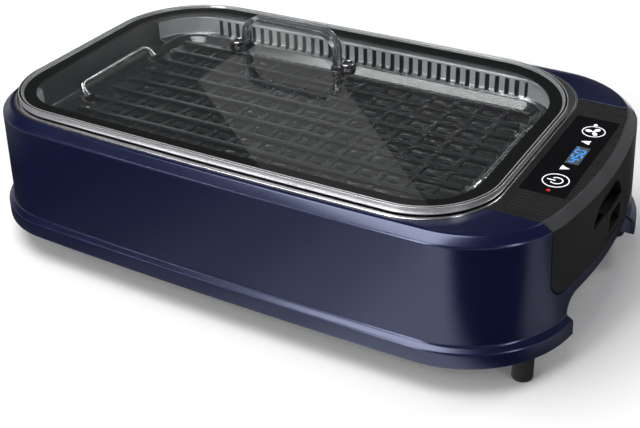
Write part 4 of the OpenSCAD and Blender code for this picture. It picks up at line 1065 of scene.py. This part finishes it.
def wall_at(height):
    """Reach of the base's wall at a height."""
    sizes = settings()
    foot, deck = heights("base_housing")
    foot += sizes.skirt_h + sizes.skirt_slope
    share = (height - foot) / (deck - sizes.chamfer_drop - foot)
    return sizes.wall_reach + (sizes.chamfer_reach - sizes.wall_reach) * share


def scoop(gap):
    """Arched finger scoop over the inlet, deepest at its flat lower edge."""
    inlet_low, inlet_high = box("power_inlet")
    aside = 17 * MM
    middle = (inlet_low.y + inlet_high.y) / 2 - aside
    flat = inlet_high.z + 1.5 * MM
    arch_r = 33 * MM
    radius = arch_r + gap
    drop = 11 * MM
    lean = math.degrees(math.asin(drop / radius))
    hollow = prism_x("scoop", arc((middle, flat - drop), radius, lean, 180 - lean, 20), PAST_END / 2)
    top = flat + arch_r - drop + 1 * MM
    deep = wall_at(flat) - 8 * MM - gap
    core = tiers(body_outline, (deep, flat - 2 * MM), (deep, flat), (wall_at(top) + 1.5 * MM - gap, top))
    carve(hollow, skin("scoop_core", core, capped=True))
    return hollow


def module_shell():
    """Hollow housing of the module with its scoop and the openings for inlet, fan and contacts."""
    low, high = box("module_housing")
    wall = 2.4 * MM
    chamfer = box("module_band")[0].z
    foot = 40 * MM
    above = 140 * MM
    collar_reach = -1.5 * MM

    def at(height, inset):
        return wall_at(height) - inset, height

    shell = module_block("module_shell", 0.0, low.x, at(foot, 0.0), at(chamfer - 0.05 * MM, 0.0))
    collar = module_block("collar", 0.0, low.x, (collar_reach, chamfer - 1 * MM), (collar_reach, high.z))
    carve(shell, collar, "UNION")
    room = module_block("room", -wall, low.x + wall, at(foot, wall), at(above, wall))
    carve(room, block("floor", (0.1, -0.2, 0.0), (PAST_END, 0.2, low.z + wall)))
    carve(room, scoop(wall))
    carve(shell, room)
    carve(shell, scoop(0.0))
    inlet_low, inlet_high = box("power_inlet")
    fit = Vector((0.0, 0.2 * MM, 0.2 * MM))
    outwards = Vector((50 * MM, 0, 0))
    carve(shell, block("inlet", inlet_low - fit, inlet_high + fit + outwards))
    fan_low, fan_high = box("fan_casing")
    fan = (fan_low + fan_high) / 2
    fan_r, through = 16 * MM, 30 * MM
    carve(shell, post(fan_r, through, (low.x, fan.y, fan.z), 64, (0, math.pi / 2, 0)))
    floor_low, floor_high = low.z - 1 * MM, low.z + 4 * MM
    contacts_low, contacts_high = box("base_contacts")
    carve(shell, block("contacts", (contacts_low.x - 4 * MM, contacts_low.y - 2.5 * MM, floor_low),
                       (contacts_high.x + 4 * MM, contacts_high.y + 2.5 * MM, floor_high)))
    carve(shell, block("air_outlet", (fan_low.x + 2 * MM, fan.y - 13 * MM, floor_low),
                       (fan_high.x - 2 * MM, fan.y + 13 * MM, floor_high)))
    return shell


def module_bevel():
    """Bevelled band between the module's side and its top."""
    low, high = box("module_band")
    inside = -1.4 * MM
    spare = 1 * MM
    band = module_block("module_bevel", 0.0, low.x, (settings().chamfer_reach, low.z), (0.0, high.z))
    inner = tiers(body_outline, (inside, low.z - spare), (inside, high.z + spare))
    carve(band, skin("inside", inner, capped=True))
    return band


# Bars of a digit: where each lies in half widths and half heights, and whether it stands
BARS = {"a": (0, 1, False), "b": (1, 0.5, True), "c": (1, -0.5, True), "d": (0, -1, False),
        "e": (-1, -0.5, True), "f": (-1, 0.5, True), "g": (0, 0, False)}
DIGITS = {"4": "bcfg", "5": "acdfg", "0": "abcdef"}


def digit_bars(number, centre, half_w, half_h, stroke):
    """Bars of a number on the display, and the dot after it; it reads along Y, with its top to the lid."""
    bars = []

    def bar(x_low, y_low, x_high, y_high):
        bars.append(block("bar", (x_low, y_low, centre.z), (x_high, y_high, centre.z + DIGIT_T)))

    pitch = 2 * half_w + 2.6 * stroke
    short = 0.42 * stroke
    for place, sign in enumerate(number):
        along = centre.y + (place - (len(number) - 1) / 2) * pitch - 1 * MM
        for name in DIGITS[sign]:
            side, rise, stands = BARS[name]
            y = along + side * half_w
            x = centre.x - rise * half_h
            reach_y = stroke / 2 if stands else half_w - short
            reach_x = half_h / 2 - short if stands else stroke / 2
            bar(x - reach_x, y - reach_y, x + reach_x, y + reach_y)
    x = centre.x - half_h
    y = centre.y + len(number) / 2 * pitch + 0.3 * MM
    near, far = 0.5 * MM, 0.8 * MM
    bar(x - near, y - near, x + far, y + far)
    return join(bars, "display_digits")


def flat_ring(name, centre, outer, inner, start=0, end=360):
    """Thin flat ring, or a part of one; it lies on the glass."""
    low, high = centre.z, centre.z + MARK_T
    around = end - start
    count = 48
    loops = []
    for step in range(count + (around < 360)):
        a = math.radians(start + around * step / count)
        way = Vector((math.cos(a), math.sin(a), 0))
        loops.append([Vector((*(centre + way * reach).xy, z)) for reach, z in
                      ((inner, low), (outer, low), (outer, high), (inner, high))])
    return skin(name, loops, closed=around == 360, capped=around < 360)


def flat_shape(name, points, height):
    """Thin flat shape that lies on the glass."""
    return skin(name, [[Vector((x, y, z)) for x, y in points] for z in (height, height + MARK_T)], capped=True)


def oval(centre, long_r, short_r, lean=0):
    """Points of an oval that leans by degrees."""
    turn = math.radians(lean)
    return [(centre.x + long_r * math.cos(a) * math.cos(turn) - short_r * math.sin(a) * math.sin(turn),
             centre.y + long_r * math.cos(a) * math.sin(turn) + short_r * math.sin(a) * math.cos(turn))
            for a in (math.radians(15 * i) for i in range(24))]


def panel_marks():
    """Fan mark, power mark and the two arrows of the touch panel."""
    low, high = box("panel_icons")
    x = (low.x + high.x) / 2
    z = low.z
    fan = Vector((x, high.y - 12.7 * MM, z))
    power = Vector((x, low.y + 9 * MM, z))
    fan_r, power_r, line = 9 * MM, 9.9 * MM, 0.8 * MM
    hub_r, dot_r = 1.1 * MM, 1.6 * MM
    marks = [flat_ring("marks", fan, fan_r, fan_r - line)]
    for lean in (180, 300, 60):
        turn = math.radians(lean)
        blade = fan + Vector((math.cos(turn), math.sin(turn), 0)) * 3.9 * MM
        marks.append(flat_shape("blade", oval(blade, 2.7 * MM, 1.9 * MM, lean), z))
    marks.append(flat_shape("hub", oval(fan, hub_r, hub_r), z))
    marks.append(flat_shape("dot", oval(fan + Vector((-2 * MM, 11.1 * MM, 0)), dot_r, dot_r), z))
    marks.append(flat_ring("ring", power, power_r, power_r - line))
    marks.append(flat_ring("open_ring", power + Vector((0.6 * MM, 0, 0)), 4.9 * MM, 4.0 * MM, 220, 500))
    tip, tail, half = power.x - 6.4 * MM, power.x - 0.2 * MM, 0.5 * MM
    stem = [(tip, power.y - half), (tail, power.y - half), (tail, power.y + half), (tip, power.y + half)]
    marks.append(flat_shape("bar", stem, z))
    display_low, display_high = box("display")
    middle = (display_low.y + display_high.y) / 2
    arrow_l, arrow_w = 3.4 * MM, 3.3 * MM
    for side in (-1, 1):
        y = middle + side * 22.5 * MM
        tip, base = x - side * arrow_l, x + side * arrow_l
        points = [(tip, y), (base, y - side * arrow_w), (base, y + side * arrow_w)]
        marks.append(flat_shape("arrow", points, z))
    return join(marks, "panel_marks")


class OBJECT_OT_grill_module(bpy.types.Operator):
    """Model the module's housing, its bevelled band and its panel marks, and set the display's digits"""

    bl_idname = "object.grill_module"
    bl_label = "Control module"

    def execute(self, context):
        for piece, finish, node in ((module_shell(), "module_dark", "module_housing"),
                                    (module_bevel(), "module_trim", "module_band")):
            smooth(piece, 24)
            dress(piece, FINISH[finish], "module", node)
        low, high = box("display")
        centre = (low + high) / 2
        centre.z = high.z
        digits = digit_bars("450", centre, 2.5 * MM, 3.7 * MM, 1.0 * MM)
        dress(panel_marks(), FINISH["icon_white"], "module", "panel_icons")
        dress(digits, FINISH["digit_blue"], "module")
        return {"FINISHED"}


class OBJECT_OT_grill_finishes(bpy.types.Operator):
    """Give every carried-over node its finish"""

    bl_idname = "object.grill_finishes"
    bl_label = "Finishes"

    def execute(self, context):
        FINISH.update(finishes())
        for part in frame["record"]["subparts"]:
            node = frame["nodes"][part["node"]]
            node.data.materials.clear()
            node.data.materials.append(FINISH[part["material_slot"]])
        return {"FINISHED"}


# Stage

FLOOR_SIZE = 12.0

# Painted reflection: bright and dark bands that gloss sees in the floor instead of the lit floor: places in metres
# and strengths, along X, then along Y for a patch on the right, and how that patch comes in along X
PAINTED_REFLECTION_ALONG = [(-0.8, 0.3), (-0.55, 0.15), (-0.37, 0.02), (-0.29, 0.03), (-0.2, 0.1), (-0.05, 0.34), (0.04, 0.66),
               (0.13, 1.2), (0.205, 1.3), (0.265, 0.0), (0.6, 0.0), (0.9, 0.6)]
REFLECTION_PATCH_ACROSS = [(-0.5, 0.0), (-0.15, 0.0), (-0.11, 0.42), (-0.07, 0.42), (-0.02, 0.12), (0.3, 0.12)]
REFLECTION_PATCH_ALONG = [(0.2, 0.0), (0.25, 0.0), (0.35, 1.0), (0.6, 1.0), (0.8, 0.0)]

# Painted light, the white floor's own glow: little within the near distance so that the grill's shadow there stays
# dark, full from the far one, in metres
FLOOR_NEAR, FLOOR_FAR, NEAR_GLOW, FAR_GLOW = 0.35, 1.0, 0.05, 1.0

# Strength of the even light, the same as gloss sees it, and how much of the white backdrop gloss sees
SOFT_LIGHT, SOFT_IN_GLOSS, BACKDROP_IN_GLOSS = 0.22, 0.06, 0.45

# Steepness of the way up at which gloss and glass begin to lose the white backdrop, and have lost it
FADE_START, FADE_END = 0.1, 0.4

# Name, place, what it points at, width, height, watts, and turn about its own axis in degrees
LAMPS = [
    ("overhead_box", (-0.35, -0.35, 1.7), (0.0, 0.0, 0.1), 1.4, 1.1, 30.0, 0),
    ("back_box", (-1.002, 1.788, 1.41), (-0.135, -0.212, 0.322), 0.35, 1.0, 0.2, 37),
    ("rim_box", (0.9, 1.3, 1.5), (0.1, 0.0, 0.12), 0.5, 0.5, 7.0, 0),
    ("edge_strip", (-0.92, -1.5, 1.35), (0.0, -0.16, 0.06), 1.2, 0.15, 5.0, 0),
    ("front_strip", (-0.25, -1.5, 0.7), (0.1, 0.0, 0.1), 0.25, 1.3, 9.0, 0),
    ("right_strip", (1.5, -0.55, 0.6), (0.1, 0.0, 0.1), 0.2, 1.1, 4.0, 0),
]

# Camera of the photograph: place from the middle of the body, turns in radians, focal length and width in pixels
CAMERA_SPOT = (436.3 * MM, -715.7 * MM, 530.5 * MM)
CAMERA_YAW, CAMERA_PITCH, CAMERA_ROLL = 0.545, 0.554, -0.037
FOCAL_PIXELS, PHOTO_PIXELS = 1117.6, 640.0
SENSOR = 36.0


def ramp_along(tree, place, axis, stops):
    """Grey ramp along one axis of the room; stops are metres and strengths."""
    along = add_node(tree, "SeparateXYZ", {"Vector": place}).outputs[axis]
    first, last = stops[0][0], stops[-1][0]
    ramp = add_node(tree, "ValToRGB", {"Fac": ranged(tree, along, first, last)})
    ramp.color_ramp.interpolation = "EASE"
    colours = ramp.color_ramp.elements
    while len(colours) < len(stops):
        colours.new(0.5)
    for element, (spot, strength) in zip(colours, stops):
        element.position = (spot - first) / (last - first)
        element.color = (strength, strength, strength, 1)
    return ramp.outputs["Color"]


def lay_floor():
    """Pale floor that keeps the shadow; gloss sees in it painted reflections instead: white and grey bands laid side
    by side.
    """
    deselect()
    bpy.ops.mesh.primitive_plane_add(size=FLOOR_SIZE)
    floor = bpy.context.active_object
    floor.name = "studio_floor"
    material, tree, shader, place = surface("pale_floor")
    wire(tree, shader, {"Base Color": (0.8, 0.8, 0.8, 1), "Roughness": 0.6, "Specular IOR Level": 0.1})
    matt = shader.outputs["BSDF"]
    path = add_node(tree, "LightPath", {}).outputs
    away = add_node(tree, "VectorMath", {0: place}, operation="LENGTH").outputs["Value"]
    # Painted light: the floor glows, weakly round the grill and fully far from it
    whiter = ranged(tree, away, FLOOR_NEAR, FLOOR_FAR, NEAR_GLOW, FAR_GLOW)
    glow = add_node(tree, "Emission", {"Strength": whiter}).outputs["Emission"]
    seen = worked_out(tree, "MAXIMUM", path["Is Camera Ray"], path["Is Transmission Ray"])
    plain = mixed(tree, seen, matt, added(tree, matt, glow))
    # Painted reflection: emission that only gloss sees, bands along X and a bright patch on the right
    reflection_patch = worked_out(tree, "MULTIPLY", ramp_along(tree, place, "Y", REFLECTION_PATCH_ACROSS),
                       ramp_along(tree, place, "X", REFLECTION_PATCH_ALONG))
    total = worked_out(tree, "ADD", ramp_along(tree, place, "X", PAINTED_REFLECTION_ALONG), reflection_patch)
    painted_reflection = add_node(tree, "Emission", {"Strength": total}).outputs["Emission"]
    mirrored = mixed(tree, path["Is Glossy Ray"], plain, painted_reflection)
    wire(tree, tree.nodes["Material Output"], {"Surface": mirrored})
    floor.data.materials.append(material)


def light_world(scene):
    """Dim even light from all round, and a white backdrop that gloss and glass see up to the lamps."""
    world = bpy.data.worlds.new("studio")
    scene.world = world
    world.use_nodes = True
    tree = world.node_tree
    path = add_node(tree, "LightPath", {}).outputs
    glossy = path["Is Glossy Ray"]
    strength = worked_out(tree, "MULTIPLY_ADD", glossy, SOFT_IN_GLOSS - SOFT_LIGHT, SOFT_LIGHT)
    soft = wire(tree, tree.nodes["Background"], {"Color": (0.78, 0.8, 0.84, 1), "Strength": strength})
    way = add_node(tree, "TexCoord", {}).outputs["Generated"]
    up = add_node(tree, "SeparateXYZ", {"Vector": way}).outputs["Z"]
    backdrop = worked_out(tree, "MULTIPLY_ADD", glossy, BACKDROP_IN_GLOSS, path["Is Transmission Ray"])
    low_down = worked_out(tree, "MULTIPLY", ranged(tree, up, FADE_START, FADE_END, 1.0, 0.0), backdrop)
    white = worked_out(tree, "MAXIMUM", path["Is Camera Ray"], low_down)
    glow = add_node(tree, "Emission", {"Strength": white}).outputs["Emission"]
    both = added(tree, soft.outputs["Background"], glow)
    wire(tree, tree.nodes["World Output"], {"Surface": both})


def hang_lamps():
    """Soft boxes above and behind, and strips for the edges, in front and to the right."""
    for name, spot, target, width, height, power, lean in LAMPS:
        light = bpy.data.lights.new(name, "AREA")
        light.shape = "RECTANGLE"
        light.size = width
        light.size_y = height
        light.energy = power
        lamp = bpy.data.objects.new(name, light)
        bpy.context.scene.collection.objects.link(lamp)
        aim = Vector(target) - Vector(spot)
        lamp.matrix_world = (Matrix.Translation(spot) @ aim.to_track_quat("-Z", "Y").to_matrix().to_4x4()
                             @ Matrix.Rotation(math.radians(lean), 4, "Z"))


def stand_camera(scene):
    """Camera where the photograph was taken from."""
    spot_x, spot_y, spot_z = CAMERA_SPOT
    eye = Vector((spot_x + body_cx(), spot_y, spot_z))
    yaw, pitch, roll = CAMERA_YAW, CAMERA_PITCH, CAMERA_ROLL
    ahead = Vector((-math.sin(yaw) * math.cos(pitch), math.cos(yaw) * math.cos(pitch), -math.sin(pitch)))
    level_right = Vector((math.cos(yaw), math.sin(yaw), 0.0))
    level_up = level_right.cross(ahead)
    right = math.cos(roll) * level_right + math.sin(roll) * level_up
    up = -math.sin(roll) * level_right + math.cos(roll) * level_up
    data = bpy.data.cameras.new("photo_camera")
    data.sensor_width = SENSOR
    data.lens = FOCAL_PIXELS * SENSOR / PHOTO_PIXELS
    data.clip_end = 50.0
    camera = bpy.data.objects.new("photo_camera", data)
    scene.collection.objects.link(camera)
    turned = Matrix((right, up, -ahead)).transposed().to_4x4()
    camera.matrix_world = Matrix.Translation(eye) @ turned
    scene.camera = camera


class OBJECT_OT_grill_stage(bpy.types.Operator):
    """Set the pale floor, the soft studio lights and the camera"""

    bl_idname = "object.grill_stage"
    bl_label = "Stage"

    def execute(self, context):
        scene = context.scene
        scene.view_settings.view_transform = "Standard"
        lay_floor()
        light_world(scene)
        hang_lamps()
        stand_camera(scene)
        return {"FINISHED"}


STEPS = (
    OBJECT_OT_grill_stage,
    OBJECT_OT_grill_finishes,
    OBJECT_OT_grill_base,
    OBJECT_OT_grill_trim,
    OBJECT_OT_grill_tub,
    OBJECT_OT_grill_guards,
    OBJECT_OT_grill_lid_frame,
    OBJECT_OT_grill_handle,
    OBJECT_OT_grill_plate,
    OBJECT_OT_grill_module,
)


class VIEW3D_PT_grill(bpy.types.Panel):
    """Lists the pieces of the grill"""

    bl_idname = "VIEW3D_PT_grill"
    bl_label = "Grill"
    bl_space_type = "VIEW_3D"
    bl_region_type = "UI"
    bl_category = "Grill"

    def draw(self, context):
        for step in STEPS:
            self.layout.operator(step.bl_idname, text=step.bl_label)
        for name in GrillColours.__annotations__:
            self.layout.prop(context.scene.grill_colours, name)


CLASSES = (GrillSizes, GrillColours, *STEPS, VIEW3D_PT_grill)


def register():
    for cls in CLASSES:
        bpy.utils.register_class(cls)
    bpy.types.Scene.grill_sizes = PointerProperty(type=GrillSizes)
    bpy.types.Scene.grill_colours = PointerProperty(type=GrillColours)


def unregister():
    del bpy.types.Scene.grill_colours
    del bpy.types.Scene.grill_sizes
    for cls in reversed(CLASSES):
        bpy.utils.unregister_class(cls)


def main():
    """Models every piece in order."""
    register()
    for step in STEPS:
        group, name = step.bl_idname.split(".")
        getattr(getattr(bpy.ops, group), name)()


if __name__ == "__main__":
    main()
